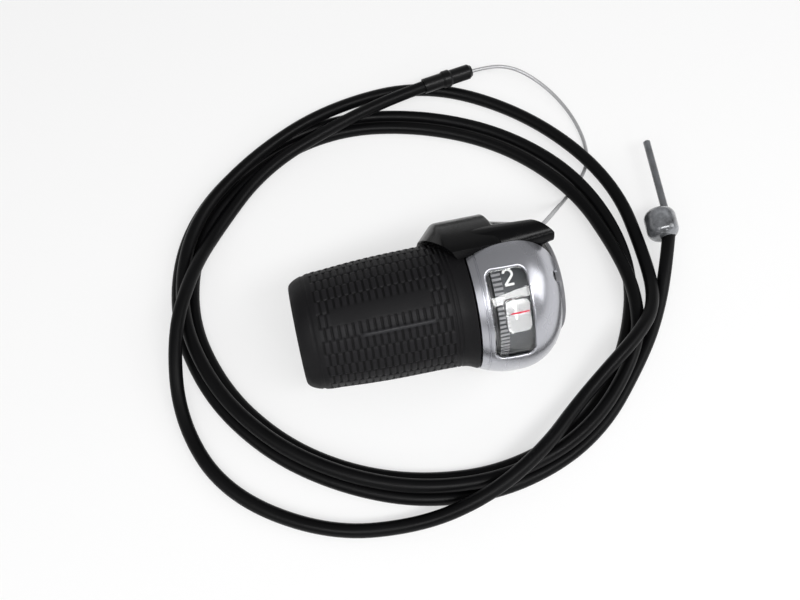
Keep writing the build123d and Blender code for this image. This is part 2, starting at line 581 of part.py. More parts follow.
# Rubber grip, flared towards the housing, with rows of ribs along it
with BuildPart() as grip_sleeve:
    with BuildSketch(Plane.XY):
        with BuildLine():
            Line((GRIP_END_X, NECK_R - GRIP_LIP), (GRIP_END_X, NECK_R))
            Spline((GRIP_END_X, NECK_R),
                   (GRIP_END_X + GRIP_ROUND / 4, GRIP_END_R - GRIP_ROUND / 4),
                   (GRIP_END_X + GRIP_ROUND, GRIP_END_R), tangents=((0, 1), (1, 0.05)))
            Spline((GRIP_END_X + GRIP_ROUND, GRIP_END_R), (GRIP_MID_X, GRIP_MID_R),
                   (GRIP_FLARE_X - GRIP_ROUND, GRIP_R), (GRIP_FLARE_X + GRIP_LIP, GRIP_R + FLARE_LIFT),
                   (SLEEVE_END_X, GRIP_FLARE_R), tangents=((1, 0.05), (1, 0.55)))
            Polyline((SLEEVE_END_X, GRIP_FLARE_R), (SLEEVE_END_X, TUBE_R),
                     (GRIP_END_X + GRIP_LIP, TUBE_R), (GRIP_END_X + GRIP_LIP, NECK_R - GRIP_LIP),
                     (GRIP_END_X, NECK_R - GRIP_LIP))
        make_face()
    revolve(axis=Axis.X)
    with BuildSketch(Plane.YZ.offset(RIB_FROM)):
        with PolarLocations(GRIP_MID_R, RIB_ROWS, RIB_START):
            Rectangle(RIB_DEPTH * 2, RIB_GAP)
    extrude(amount=RIB_TO - RIB_FROM, mode=Mode.SUBTRACT)
    with BuildSketch(Plane.XY):
        with Locations((GRIP_END_X + END_GROOVE_X, GRIP_END_R)):
            Circle(END_GROOVE_R)
    revolve(axis=Axis.X, mode=Mode.SUBTRACT)

# Drum that carries the numbers under the window
with BuildPart() as number_drum:
    with BuildSketch(Plane.XY):
        with BuildLine():
            Polyline((DRUM_FROM, HUB_R + SLIP_GAP), (DRUM_FROM, DRUM_R), (DRUM_TO, DRUM_R),
                     (DRUM_TO, DRUM_R - DRUM_WALL), (DRUM_FROM + DRUM_WALL, DRUM_R - DRUM_WALL),
                     (DRUM_FROM + DRUM_WALL, HUB_R + DRUM_HUB_WALL),
                     (DRUM_FROM + DRUM_HUB_LENGTH, HUB_R + DRUM_HUB_WALL),
                     (DRUM_FROM + DRUM_HUB_LENGTH, HUB_R + SLIP_GAP), close=True)
        make_face()
    revolve(axis=Axis.X)
    with BuildSketch(Plane.YZ.offset(DRUM_FROM)):
        with PolarLocations(DRUM_R, DRUM_TEETH):
            Rectangle(TOOTH_DEPTH * 2, TOOTH_GAP)
    extrude(amount=TOOTH_LENGTH, mode=Mode.SUBTRACT)

# Wire head in its pocket, and the wire wound on the spool
with BuildPart() as cable_nipple:
    with BuildSketch(pocket):
        Circle(NIPPLE_R)
    extrude(amount=NIPPLE_LENGTH)
    chamfer(cable_nipple.edges(), NIPPLE_EDGE)

with BuildPart() as wire_wrap:
    with BuildSketch(section_plane(leave_angle)):
        with Locations((SPOOL_X, SPOOL_WIRE_R)):
            Circle(WIRE_R)
    revolve(axis=Axis.X, revolution_arc=NIPPLE_ANGLE - leave_angle)

# Wire from the spool round the bend into the nose
with BuildPart() as wire_lead:
    with BuildLine():
        FilletPolyline(ring_point(SPOOL_X, SPOOL_WIRE_R, leave_angle),
                       ring_point(SPOOL_X, NOSE_R, NOSE_ANGLE),
                       ring_point(WIRE_START_X, NOSE_R, NOSE_ANGLE), radius=LEAD_BEND_R)
    with BuildSketch(Plane(origin=ring_point(WIRE_START_X, NOSE_R, NOSE_ANGLE), z_dir=(1, 0, 0))):
        Circle(WIRE_R)
    sweep()

# Washer between the twist tube and the clamp collar
with BuildPart() as thrust_washer:
    with BuildSketch(Plane.YZ.offset(COLLAR_FRONT_X - SLIP_GAP)):
        Circle(COLLAR_R - WASHER_INSET)
        Circle(TUBE_BORE_R + SLIP_GAP, mode=Mode.SUBTRACT)
    extrude(amount=-WASHER_THICK)

# Detent leaf with a bead that sits in a notch of the wheel
LEAF_R = SPOOL_R + LEAF_RISE
leaf_ends = (DETENT_ANGLE - LEAF_ANGLE, DETENT_ANGLE + LEAF_ANGLE)
with BuildPart() as detent_spring:
    with BuildSketch(Plane.YZ.offset(WHEEL_TO - LEAF_INSET)):
        with BuildLine():
            CenterArc((0, 0), LEAF_R, leaf_ends[0], LEAF_ANGLE * 2)
            Line(Vector(LEAF_R, 0).rotate(Axis.Z, leaf_ends[1]),
                 Vector(LEAF_R + LEAF_THICK, 0).rotate(Axis.Z, leaf_ends[1]))
            CenterArc((0, 0), LEAF_R + LEAF_THICK, leaf_ends[0], LEAF_ANGLE * 2)
            Line(Vector(LEAF_R, 0).rotate(Axis.Z, leaf_ends[0]),
                 Vector(LEAF_R + LEAF_THICK, 0).rotate(Axis.Z, leaf_ends[0]))
        make_face()
        with PolarLocations(SPOOL_R + NOTCH_RISE, 1, DETENT_ANGLE):
            Circle(NOTCH_R - BEAD_GAP)
        with PolarLocations(LEAF_R + LEAF_THICK, 2, DETENT_ANGLE - LEAF_TAB_ANGLE,
                            LEAF_TAB_ANGLE * 2, endpoint=True):
            Rectangle(LEAF_THICK * 2, LEAF_TAB)
    extrude(amount=-LEAF_WIDTH)

# Clamp screw with a hex socket, its square nut and the shoe on the bar
with BuildPart() as clamp_screw:
    with BuildSketch(bottom.offset(CLAMP_SCREW_TOP)):
        Circle(CLAMP_SCREW_R)
    extrude(amount=CLAMP_SCREW_LENGTH)
    with BuildSketch(bottom.offset(CLAMP_SCREW_TOP + CLAMP_SCREW_LENGTH)):
        RegularPolygon(HEX_ACROSS / 2, 6, major_radius=False)
    extrude(amount=-HEX_DEPTH, mode=Mode.SUBTRACT)

with BuildPart() as clamp_nut:
    with BuildSketch(bottom.offset(NUT_TOP)):
        Rectangle(NUT_SIDE, NUT_SIDE)
        Circle(CLAMP_SCREW_R + SEAT_GAP, mode=Mode.SUBTRACT)
    extrude(amount=NUT_THICK)

shoe_edge_z = -((BAR_BORE_R**2 - SHOE_SIDE**2 / 4)**0.5)
with BuildPart() as clamp_shoe:
    with BuildSketch(Plane.YZ.offset(CLAMP_X - SHOE_SIDE / 2)):
        with BuildLine():
            ThreePointArc((-SHOE_SIDE / 2, shoe_edge_z), (0, -BAR_BORE_R), (SHOE_SIDE / 2, shoe_edge_z))
            Polyline((SHOE_SIDE / 2, shoe_edge_z), (SHOE_SIDE / 2, -BAR_BORE_R - SHOE_THICK),
                     (-SHOE_SIDE / 2, -BAR_BORE_R - SHOE_THICK), (-SHOE_SIDE / 2, shoe_edge_z))
        make_face()
    extrude(amount=SHOE_SIDE)

# Two screws that hold the cover to the flange
with BuildPart() as cover_screws:
    with BuildSketch(Plane.YZ.offset(COVER_SCREW_X)):
        with PolarLocations(COVER_SCREW_RING_R, 1, COVER_SCREW_ANGLES[0]):
            Circle(COVER_SCREW_HEAD_R)
        with PolarLocations(COVER_SCREW_RING_R, 1, COVER_SCREW_ANGLES[1]):
            Circle(COVER_SCREW_HEAD_R)
    extrude(amount=COVER_SCREW_HEAD)
    with BuildSketch(Plane.YZ.offset(COVER_SCREW_X)):
        with PolarLocations(COVER_SCREW_RING_R, 1, COVER_SCREW_ANGLES[0]):
            Circle(COVER_SCREW_R)
        with PolarLocations(COVER_SCREW_RING_R, 1, COVER_SCREW_ANGLES[1]):
            Circle(COVER_SCREW_R)
    extrude(amount=-COVER_SCREW_LENGTH)

# Casing ferrule, turned about its own axis
ferrule_dir = (cos(radians(FERRULE_TURN)), sin(radians(FERRULE_TURN)), 0)
ferrule_tip = Vector(FERRULE_TIP[0], FERRULE_TIP[1], FLOOR_Z + FERRULE_H)
ferrule_seat = ferrule_tip - Vector(*ferrule_dir) * FERRULE_SEAT
with BuildPart() as casing_ferrule:
    with BuildSketch(Plane(origin=ferrule_tip, x_dir=ferrule_dir, z_dir=(0, 0, 1))):
        with BuildLine():
            Polyline((0, FERRULE_HOLE_R), (0, FERRULE_R - FERRULE_TAPER),
                     (-FERRULE_TAPER, FERRULE_R - FERRULE_NECK),
                     (FERRULE_SLOPE - FERRULE_BAND_TO, FERRULE_R - FERRULE_NECK),
                     (-FERRULE_BAND_TO, FERRULE_R), (-FERRULE_BAND_FROM, FERRULE_R),
                     (-FERRULE_BAND_FROM - FERRULE_SLOPE, FERRULE_R - FERRULE_NECK),
                     (-FERRULE_LENGTH, FERRULE_R - FERRULE_NECK),
                     (-FERRULE_LENGTH, CASING_R + SLIP_GAP), (-FERRULE_SEAT, CASING_R + SLIP_GAP),
                     (-FERRULE_SEAT, FERRULE_HOLE_R), close=True)
        make_face()
    revolve(axis=Axis(ferrule_tip, ferrule_dir))

# Cable casing, one tube from the ferrule round the coil to the anchor
casing_points = [tuple(ferrule_seat), tuple(ferrule_tip - Vector(*ferrule_dir) * CASING_LEAD)]
casing_points += [(COIL_X + r * cos(radians(a)), COIL_Y + r * sin(radians(a)), FLOOR_Z + h)
                  for a, r, h in COIL]
casing_radii = cord_radii(casing_points)
print("casing bend radii from", round(min(casing_radii), 1), "to", round(max(casing_radii), 1))
with BuildPart() as cable_casing:
    with BuildLine() as casing_line:
        FilletPolyline(*casing_points, radius=casing_radii)
    with BuildSketch(Plane(origin=casing_points[0], z_dir=[-c for c in ferrule_dir])):
        Circle(CASING_R)
    sweep()
casing_length = sum(edge.length for edge in casing_line.edges())
print("casing length", round(casing_length, 1), "volume over section times length",
      round(cable_casing.part.volume / (pi * CASING_R**2 * casing_length), 4))

# Free inner wire from the nose to the ferrule
wire_points = [ring_point(WIRE_START_X, NOSE_R, NOSE_ANGLE),
               ring_point(WIRE_TURN_X, NOSE_R, NOSE_ANGLE)]
wire_points += WIRE
wire_points += [tuple(ferrule_tip + Vector(*ferrule_dir) * WIRE_TAIL), tuple(ferrule_seat)]
wire_radii = cord_radii(wire_points)
print("wire bend radii", [round(r, 1) for r in wire_radii])
with BuildPart() as inner_wire:
    with BuildLine() as wire_line:
        FilletPolyline(*wire_points, radius=wire_radii)
    with BuildSketch(Plane(origin=wire_points[0], z_dir=(1, 0, 0))):
        Circle(WIRE_R)
    sweep()
wire_length = sum(edge.length for edge in wire_line.edges())
print("wire length", round(wire_length, 1), "volume over section times length",
      round(inner_wire.part.volume / (pi * WIRE_R**2 * wire_length), 4))

# Anchor barrel on the casing's far end, with a seat for the casing and one for the rod
anchor_start = Vector(*casing_points[-1])
casing_end_dir = (anchor_start - Vector(*casing_points[-2])).normalized()
anchor_dir = Vector(cos(radians(ROD_TURN)), sin(radians(ROD_TURN)), 0)
anchor_side = Vector(0, 0, 1).cross(anchor_dir)
anchor_base = anchor_start - anchor_dir * ANCHOR_HOLD + anchor_side * ANCHOR_SHIFT
rod_seat = anchor_start + anchor_dir * (ANCHOR_LENGTH - ANCHOR_HOLD - ROD_HOLD)
with BuildPart() as anchor_barrel:
    with BuildSketch(Plane(origin=anchor_base, z_dir=anchor_dir)):
        Circle(ANCHOR_R)
    extrude(amount=ANCHOR_LENGTH)
    fillet(anchor_barrel.edges().filter_by(GeomType.CIRCLE), ANCHOR_ROUND)
    with BuildSketch(Plane(origin=anchor_start, z_dir=-casing_end_dir)):
        Circle(CASING_R + SLIP_GAP)
    extrude(amount=ANCHOR_LENGTH, mode=Mode.SUBTRACT)
    with BuildSketch(Plane(origin=rod_seat, z_dir=anchor_dir)):
        Circle(ROD_R + SLIP_GAP)
    extrude(amount=ANCHOR_LENGTH, mode=Mode.SUBTRACT)

with BuildPart() as anchor_rod:
    with BuildSketch(Plane(origin=rod_seat, z_dir=anchor_dir)):
        Circle(ROD_R)
    extrude(amount=ROD_LENGTH)
    chamfer(anchor_rod.faces().sort_by(Axis(anchor_start, anchor_dir))[-1].edges(), ROD_EDGE)

os.makedirs("parts", exist_ok=True)
housing_base.part.label = "housing_base"
window_cover.part.label = "window_cover"
window_lens.part.label = "window_lens"
twist_tube.part.label = "twist_tube"
grip_sleeve.part.label = "grip_sleeve"
number_drum.part.label = "number_drum"
cable_nipple.part.label = "cable_nipple"
wire_wrap.part.label = "wire_wrap"
wire_lead.part.label = "wire_lead"
thrust_washer.part.label = "thrust_washer"
detent_spring.part.label = "detent_spring"
clamp_screw.part.label = "clamp_screw"
clamp_nut.part.label = "clamp_nut"
clamp_shoe.part.label = "clamp_shoe"
cover_screws.part.label = "cover_screws"
casing_ferrule.part.label = "casing_ferrule"
cable_casing.part.label = "cable_casing"
inner_wire.part.label = "inner_wire"
anchor_barrel.part.label = "anchor_barrel"
anchor_rod.part.label = "anchor_rod"
export_step(housing_base.part, "parts/housing_base.step")
export_step(window_cover.part, "parts/window_cover.step")
export_step(window_lens.part, "parts/window_lens.step")
export_step(twist_tube.part, "parts/twist_tube.step")
export_step(grip_sleeve.part, "parts/grip_sleeve.step")
export_step(number_drum.part, "parts/number_drum.step")
export_step(cable_nipple.part, "parts/cable_nipple.step")
export_step(wire_wrap.part, "parts/wire_wrap.step")
export_step(wire_lead.part, "parts/wire_lead.step")
export_step(thrust_washer.part, "parts/thrust_washer.step")
export_step(detent_spring.part, "parts/detent_spring.step")
export_step(clamp_screw.part, "parts/clamp_screw.step")
export_step(clamp_nut.part, "parts/clamp_nut.step")
export_step(clamp_shoe.part, "parts/clamp_shoe.step")
export_step(cover_screws.part, "parts/cover_screws.step")
export_step(casing_ferrule.part, "parts/casing_ferrule.step")
export_step(cable_casing.part, "parts/cable_casing.step")
export_step(inner_wire.part, "parts/inner_wire.step")
export_step(anchor_barrel.part, "parts/anchor_barrel.step")
export_step(anchor_rod.part, "parts/anchor_rod.step")
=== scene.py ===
"""Looks of a twist grip shifter with its coiled shift cable, in metres.

The bore axis is X and Z is up. Angles around the bore run from +Y towards +Z, so that
90 degrees is the top and 180 degrees the side that faces the viewer.
"""

import bpy
import numpy as np
from bpy.props import FloatProperty, FloatVectorProperty, IntProperty, PointerProperty
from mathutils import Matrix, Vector


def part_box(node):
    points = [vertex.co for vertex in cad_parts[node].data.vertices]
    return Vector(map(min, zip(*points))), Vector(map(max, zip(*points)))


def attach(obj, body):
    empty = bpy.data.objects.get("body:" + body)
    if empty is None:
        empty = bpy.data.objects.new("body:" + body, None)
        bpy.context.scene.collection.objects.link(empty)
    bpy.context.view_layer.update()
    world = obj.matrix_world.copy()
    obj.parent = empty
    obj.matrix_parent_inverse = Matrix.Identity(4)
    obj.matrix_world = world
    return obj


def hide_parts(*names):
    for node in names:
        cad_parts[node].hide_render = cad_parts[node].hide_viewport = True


bl_info = {
    "name": "Twist Grip Shifter",
    "version": (1, 0, 0),
    "blender": (4, 5, 0),
    "location": "View3D > Sidebar > Shifter",
    "description": "Dresses the shifter's solids with rubber, plastic, paint, steel and cable",
    "category": "Object",
}

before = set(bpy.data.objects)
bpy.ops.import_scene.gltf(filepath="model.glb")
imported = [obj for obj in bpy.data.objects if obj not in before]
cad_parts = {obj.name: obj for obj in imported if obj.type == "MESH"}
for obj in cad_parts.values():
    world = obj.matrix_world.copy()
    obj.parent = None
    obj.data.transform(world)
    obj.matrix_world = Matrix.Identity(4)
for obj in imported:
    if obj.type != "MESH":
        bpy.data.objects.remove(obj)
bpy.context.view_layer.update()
MM = 0.001

# Route of the casing: the ferrule's place, then angle, radius and height of each point of the coil
FLOOR_Z = -20.0 * MM
COIL_CENTRE = (-41.0 * MM, 9.0 * MM)
FERRULE_TIP = (0.8 * MM, 88.3 * MM, FLOOR_Z + 7.6 * MM)
FERRULE_TURN = np.radians(9.6)
FERRULE_SEAT = 9.0 * MM
CASING_LEAD = 25.8 * MM
COIL = (
    (96, 68.5, 6.8), (120, 66.5, 5.0), (144, 64.5, 3.2), (160, 64.0, 10.0),
    (177, 67.5, 10.6), (196, 73.0, 2.4), (216, 74.5, 2.0), (240, 70.0, 2.0),
    (262, 65.0, 3.5), (280, 62.5, 10.6), (298, 59.6, 10.8), (314, 58.6, 7.4),
    (326, 62.0, 9.2), (337, 68.8, 11.6), (346, 74.6, 8.6), (358, 77.2, 3.4),
    (381, 81.8, 4.4), (407, 84.5, 2.0), (432, 86.0, 2.0), (456, 76.0, 6.8),
    (480, 72.0, 6.2), (504, 72.0, 5.9), (528, 67.3, 5.9), (552, 61.0, 5.9),
    (576, 56.3, 5.9), (600, 54.3, 5.9), (624, 55.8, 5.5), (648, 60.2, 5.4),
    (672, 66.0, 5.7), (696, 70.5, 5.7), (709, 70.3, 6.4), (722, 68.9, 5.4),
    (744, 69.0, 4.3), (768, 69.0, 2.0), (792, 68.0, 2.0), (816, 70.0, 2.0),
    (840, 70.0, 2.0), (864, 69.5, 2.0), (888, 65.0, 2.0), (912, 58.5, 2.0),
    (936, 54.0, 2.0), (960, 52.0, 2.0), (984, 53.0, 2.0), (1008, 57.5, 2.0),
    (1032, 63.5, 2.0), (1056, 68.0, 2.0), (1080, 73.5, 2.0), (1104, 73.8, 4.3),
    (1128, 73.8, 2.0), (1152, 72.8, 2.0), (1176, 74.6, 2.0), (1200, 74.6, 2.0),
    (1224, 74.2, 2.0), (1248, 69.6, 2.0), (1272, 63.4, 2.0), (1296, 58.6, 2.0),
    (1320, 56.6, 2.0), (1344, 58.6, 2.0), (1368, 63.0, 2.0), (1392, 68.4, 2.0),
    (1416, 73.0, 2.0), (1428, 78.0, 2.2), (1437.5, 82.0, 6.8), (1444.9, 87.2, 6.8),
)

# Route of the inner wire: along the nose, down to the floor and round to the ferrule
NOSE_ANGLE = np.radians(69.5)
NOSE_RADIUS = 20.65 * MM
WIRE_START_X = -12.0 * MM
WIRE_TURN_X = -4.6 * MM
WIRE_TAIL = 2.5 * MM
WIRE = (
    (4.8, 16.6, 11.5), (12.8, 28.1, -7.0), (17.0, 34.5, -19.3),
    (29.8, 45.4, -19.3), (32.6, 56.0, -19.3), (30.8, 69.5, -18.7),
    (24.5, 81.5, -17.0), (14.5, 88.5, -13.4),
)

# Section of the inner wire: points to each strand, depth of the valleys as a share of the radius,
# and the direction that its side stays square to
STRAND_POINTS = 8
VALLEY_SHARE = 0.06
FIXED_DIRECTION = (0.31, -0.52, 0.79)

# Steps from point to point of the wire, the casing and the line that gives the casing's length,
# and the fineness of the casing's round section
WIRE_STEPS = 60
CASING_STEPS = 12
LENGTH_STEPS = 16
CASING_ROUNDNESS = 5

# Section of the sleeve: rounded open end, radius along the side in millimetres, flare and bores
END_RADIUS = 13.1 * MM
END_LENGTH = 9.0 * MM
END_RISE = 3.45 * MM
SIDE_X = (-64.0, -51.0, -34.5, -29.0)
SIDE_RADIUS = (16.55, 17.4, 17.7, 18.0, 19.25)
SIDE_SLOPE = (0.08, 0.04, 0.02, 0.12, 0.5)
FLARE_BORE = 17.0 * MM
SLEEVE_BORE = 13.25 * MM
LIP_BORE = 12.75 * MM
LIP_LENGTH = 1.0 * MM

# Mesh lines of the sleeve: rings round its end and along its side, and shares across a row of ribs
END_RINGS = 80
SIDE_RINGS = 270
ROW_LINES = np.array([0.0, 0.05, 0.1, 0.17, 0.38, 0.62, 0.83, 0.9, 0.95])

# Relief of the sleeve: the radius outside which it starts and the grip's middle radius, smooth
# ridge, ribs in shares of a pitch and of a row, bare band with its angles in degrees, and rings
RELIEF_RADIUS = 13.6 * MM
GRIP_RADIUS = 17.6 * MM
RIDGE_ANGLE = np.radians(125.0)
RIDGE_SPAN = (-54.5 * MM, -38.0 * MM)
RIDGE_FADE = 3.0 * MM
RIDGE_HALF_WIDTH = 0.3 * MM
RIDGE_EDGE = 0.45 * MM
RIB_SPAN = (-66.6 * MM, -32.2 * MM)
RIB_FADE = 0.5 * MM
RIB_TOP = (0.2, 0.72)
RIB_SLOPE = 0.14
ROW_FLAT = (0.1, 0.9)
ROW_SLOPE = 0.1
ROW_DIP = 0.55
BARE_SPAN = (-63.0 * MM, -37.0 * MM)
BARE_FADE = 1.0 * MM
BARE_ANGLES = (97.0, 112.0)
BARE_ANGLE_FADE = 1.0
FLARE_RINGS = (-31.2 * MM, -30.0 * MM)
FLARE_RING_HALF_WIDTH = 0.18 * MM
FLARE_RING_EDGE = 0.16 * MM
FLARE_RING_DEPTH = 0.22 * MM
END_RING = -68.6 * MM
END_RING_HALF_WIDTH = 0.2 * MM
END_RING_EDGE = 0.4 * MM
END_RING_DEPTH = 0.18 * MM

# Places on the drum and the lens
PAD_ANGLE = np.radians(131.0)
STEP_ANGLE = np.radians(29.0)
DRUM_RADIUS = 18.2 * MM
PAD_HEIGHT = 22.2 * MM
NUMBER_X = -15.6 * MM
TEETH_TO = -17.5 * MM
TEETH_DEPTH = 0.1 * MM

# Pointer line on the pad, and the ink of the numbers, whose width is a share of their height
POINTER_X = -15.0 * MM
POINTER_RISE = 0.8 * MM
POINTER_HALF_LENGTH = 2.6 * MM
POINTER_HALF_WIDTH = 0.22 * MM
POINTER_HALF_HEIGHT = 0.04 * MM
INK_HALF_WIDTH = 0.075
INK_HALF_HEIGHT = 0.03 * MM
INK_LIFT = 0.015 * MM

# Where the housing is grey: the clamp collar, inboard of its flange
COLLAR_FROM = -5.15 * MM
COLLAR_REACH = 14.5 * MM

# Floor: half its width, its cells, its drop under the part, and where it turns to plain white
FLOOR_REACH = 4.0
FLOOR_CELLS = 8
FLOOR_DROP = 0.02 * MM
WHITE_FROM = 0.2
WHITE_TO = 0.7

# Lamps: name, direction from the object, distance, width and height, power in watts
LAMPS = (
    ("key", (0.10, -0.52, 0.85), 0.75, (0.8, 0.18), 4.2),
    ("left_fill", (-0.62, -0.45, 0.65), 0.9, (0.5, 0.5), 1.1),
    ("right_fill", (0.80, -0.20, 0.57), 0.9, (0.5, 0.5), 1.8),
    ("back", (0.1, 0.90, 0.42), 0.9, (0.8, 0.4), 0.3),
    ("glint", (0.238, -0.831, 0.503), 0.8, (0.08, 0.08), 0.3),
)

# Sky: heights over the horizon between which its white rim fades
RIM_FROM = 0.05
RIM_TO = 0.2

# Camera
SENSOR_WIDTH = 36.0
CLIP_START = 0.01


class GripSettings(bpy.types.PropertyGroup):
    """Sizes and colours of the rubber sleeve, with painted shade and a painted highlight."""

    # Painted shade: the darkest rubber colour, which fills the gaps between the ribs
    colour: FloatVectorProperty(
        name="Rubber", description="Colour of the rubber in the gaps between the ribs",
        subtype="COLOR", size=4, default=(0.0016, 0.0016, 0.0019, 1.0), min=0.0, max=1.0)
    # Rib tops: lighter partly for wear and partly as painted light against the shaded gaps
    wear_and_gap_shade: FloatVectorProperty(
        name="Worn rubber", description="Colour of the rubber on the tops of the ribs",
        subtype="COLOR", size=4, default=(0.0096, 0.0092, 0.0106, 1.0), min=0.0, max=1.0)
    # Painted highlight: a lighter colour along the smooth ridge
    smooth_ridge_painted_highlight: FloatVectorProperty(
        name="Shiny rubber", description="Colour of the rubber on the smooth ridge",
        subtype="COLOR", size=4, default=(0.022, 0.022, 0.024, 1.0), min=0.0, max=1.0)
    rows: IntProperty(
        name="Rows", description="Rows of ribs around the grip", default=28, min=12, max=60)
    pitch: FloatProperty(
        name="Rib pitch", description="Distance from rib to rib along a row",
        default=1.9 * MM, min=0.5 * MM, max=6.0 * MM, unit="LENGTH")
    depth: FloatProperty(
        name="Rib depth", description="Depth of the gaps between the ribs",
        default=0.28 * MM, min=0.0, max=1.0 * MM, unit="LENGTH")
    ridge: FloatProperty(
        name="Ridge height", description="Height of the smooth ridge along the grip",
        default=0.35 * MM, min=0.0, max=1.0 * MM, unit="LENGTH")


class HousingSettings(bpy.types.PropertyGroup):
    """Colours of the housing, the cover and the parts in the window."""

    plastic: FloatVectorProperty(
        name="Housing", description="Colour of the black housing", subtype="COLOR",
        size=4, default=(0.003, 0.003, 0.0033, 1.0), min=0.0, max=1.0)
    silver: FloatVectorProperty(
        name="Cover", description="Colour of the silver cover", subtype="COLOR",
        size=4, default=(0.5, 0.505, 0.545, 1.0), min=0.0, max=1.0)
    collar: FloatVectorProperty(
        name="Collar", description="Colour of the clamp collar", subtype="COLOR",
        size=4, default=(0.17, 0.17, 0.18, 1.0), min=0.0, max=1.0)
    drum: FloatVectorProperty(
        name="Drum", description="Colour of the number drum", subtype="COLOR",
        size=4, default=(0.035, 0.038, 0.042, 1.0), min=0.0, max=1.0)
    pointer: FloatVectorProperty(
        name="Pointer", description="Colour of the pointer line", subtype="COLOR",
        size=4, default=(0.72, 0.03, 0.06, 1.0), min=0.0, max=1.0)
    ink: FloatVectorProperty(
        name="Ink", description="Colour of the numbers on the drum", subtype="COLOR",
        size=4, default=(0.8, 0.8, 0.79, 1.0), min=0.0, max=1.0)
    teeth: FloatVectorProperty(
        name="Teeth", description="Colour of the ticks on the drum's end", subtype="COLOR",
        size=4, default=(0.22, 0.22, 0.23, 1.0), min=0.0, max=1.0)
    number_height: FloatProperty(
        name="Number height", description="Height of the numbers on the drum",
        default=4.2 * MM, min=1.0 * MM, max=9.0 * MM, unit="LENGTH")


class CableSettings(bpy.types.PropertyGroup):
    """Sizes and colours of the wire and its casing."""

    casing: FloatVectorProperty(
        name="Casing", description="Colour of the casing's jacket", subtype="COLOR",
        size=4, default=(0.0024, 0.0024, 0.0027, 1.0), min=0.0, max=1.0)
    steel: FloatVectorProperty(
        name="Wire", description="Colour of the steel wire", subtype="COLOR",
        size=4, default=(0.5, 0.5, 0.51, 1.0), min=0.0, max=1.0)
    anchor: FloatVectorProperty(
        name="Anchor", description="Colour of the barrel and rod on the far end", subtype="COLOR",
        size=4, default=(0.15, 0.155, 0.165, 1.0), min=0.0, max=1.0)
    casing_radius: FloatProperty(
        name="Casing radius", description="Outer radius of the casing",
        default=2.0 * MM, min=0.5 * MM, max=5.0 * MM, unit="LENGTH")
    wire_radius: FloatProperty(
        name="Wire radius", description="Outer radius of the inner wire",
        default=0.6 * MM, min=0.2 * MM, max=2.0 * MM, unit="LENGTH")
    strands: IntProperty(
        name="Strands", description="Strands around the inner wire", default=6, min=3, max=19)
    lay_length: FloatProperty(
        name="Lay", description="Length in which a strand goes once around the wire",
        default=8.0 * MM, min=2.0 * MM, max=40.0 * MM, unit="LENGTH")


class StageSettings(bpy.types.PropertyGroup):
    """Camera, floor and sky."""

    floor: FloatVectorProperty(
        name="Floor", description="Colour of the floor", subtype="COLOR",
        size=4, default=(0.9, 0.9, 0.9, 1.0), min=0.0, max=1.0)
    floor_glow: FloatProperty(
        name="Floor glow", description="Share of plain white in the floor that the camera sees",
        default=0.6, min=0.0, max=1.0, subtype="FACTOR")
    elevation: FloatProperty(
        name="Elevation", description="How steeply the camera looks down",
        default=np.radians(65.0), min=0.0, max=np.radians(90.0), subtype="ANGLE")
    heading: FloatProperty(
        name="Heading", description="Turn of the camera's view from +Y towards +X",
        default=np.radians(12.79), min=-np.pi, max=np.pi, subtype="ANGLE")
    distance: FloatProperty(
        name="Distance", description="From the camera to the point that it looks at",
        default=270.82 * MM, min=0.05, max=5.0, unit="LENGTH")
    target: FloatVectorProperty(
        name="Target", description="Point in the middle of the picture", subtype="TRANSLATION",
        size=3, default=(-40.91 * MM, 13.15 * MM, -19.5 * MM), unit="LENGTH")
    focal_length: FloatProperty(
        name="Focal length", description="Focal length in millimetres for a 36 mm wide sensor",
        default=39.69, min=10.0, max=200.0)
    world_strength: FloatProperty(
        name="Sky", description="Strength of the even light from all around",
        default=0.28, min=0.0, max=3.0)


def around(x, radius, angle):
    """Points at a place along the bore, a distance from its axis and an angle around it."""
    x, radius, angle = np.broadcast_arrays(x, radius, angle)
    return np.stack([x, radius * np.cos(angle), radius * np.sin(angle)], axis=-1)


def smooth_step(value, low, high):
    """0 below low and 1 above high, with an S-shaped cubic between them."""
    t = np.clip((value - low) / (high - low), 0.0, 1.0)
    return t * t * (3.0 - 2.0 * t)


def band(value, low, high, soft):
    """1 from low to high and 0 outside, with a slope of the given width on each side."""
    return smooth_step(value, low - soft, low) * (1.0 - smooth_step(value, high, high + soft))


def near(value, centre, half, soft):
    """1 up to half a width from a centre and 0 further off, with a slope of the given width."""
    return 1.0 - smooth_step(np.abs(value - centre), half, half + soft)


def hermite(x, xs, ys, slopes):
    """Cubic curve through points with a slope at each one."""
    xs, ys, slopes = (np.asarray(a, dtype=float) for a in (xs, ys, slopes))
    i = np.clip(np.searchsorted(xs, x) - 1, 0, len(xs) - 2)
    width = xs[i + 1] - xs[i]
    t = (x - xs[i]) / width
    rise = (2 * t**3 - 3 * t**2 + 1) * ys[i] + (3 * t**2 - 2 * t**3) * ys[i + 1]
    return rise + width * ((t**3 - 2 * t**2 + t) * slopes[i] + (t**3 - t**2) * slopes[i + 1])


def unit(vectors):
    """Vectors of the same directions with a length of 1."""
    return vectors / np.linalg.norm(vectors, axis=1, keepdims=True)


def add_object(name, mesh, body, material):
    """Puts a finished mesh or curve into the scene, riding on a body."""
    piece = bpy.data.objects.new(name, mesh)
    bpy.context.scene.collection.objects.link(piece)
    piece.data.materials.append(material)
    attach(piece, body)
    return piece


def grid_quads(rows, columns, wrap_u=False, wrap_v=False):
    """Corners of each cell of a grid of points, counted row by row."""
    u, v = np.meshgrid(np.arange(rows if wrap_u else rows - 1),
                       np.arange(columns if wrap_v else columns - 1), indexing="ij")
    u_next, v_next = (u + 1) % rows, (v + 1) % columns
    corners = ((u, v), (u_next, v), (u_next, v_next), (u, v_next))
    return np.stack([row * columns + column for row, column in corners], axis=-1).reshape(-1, 4)


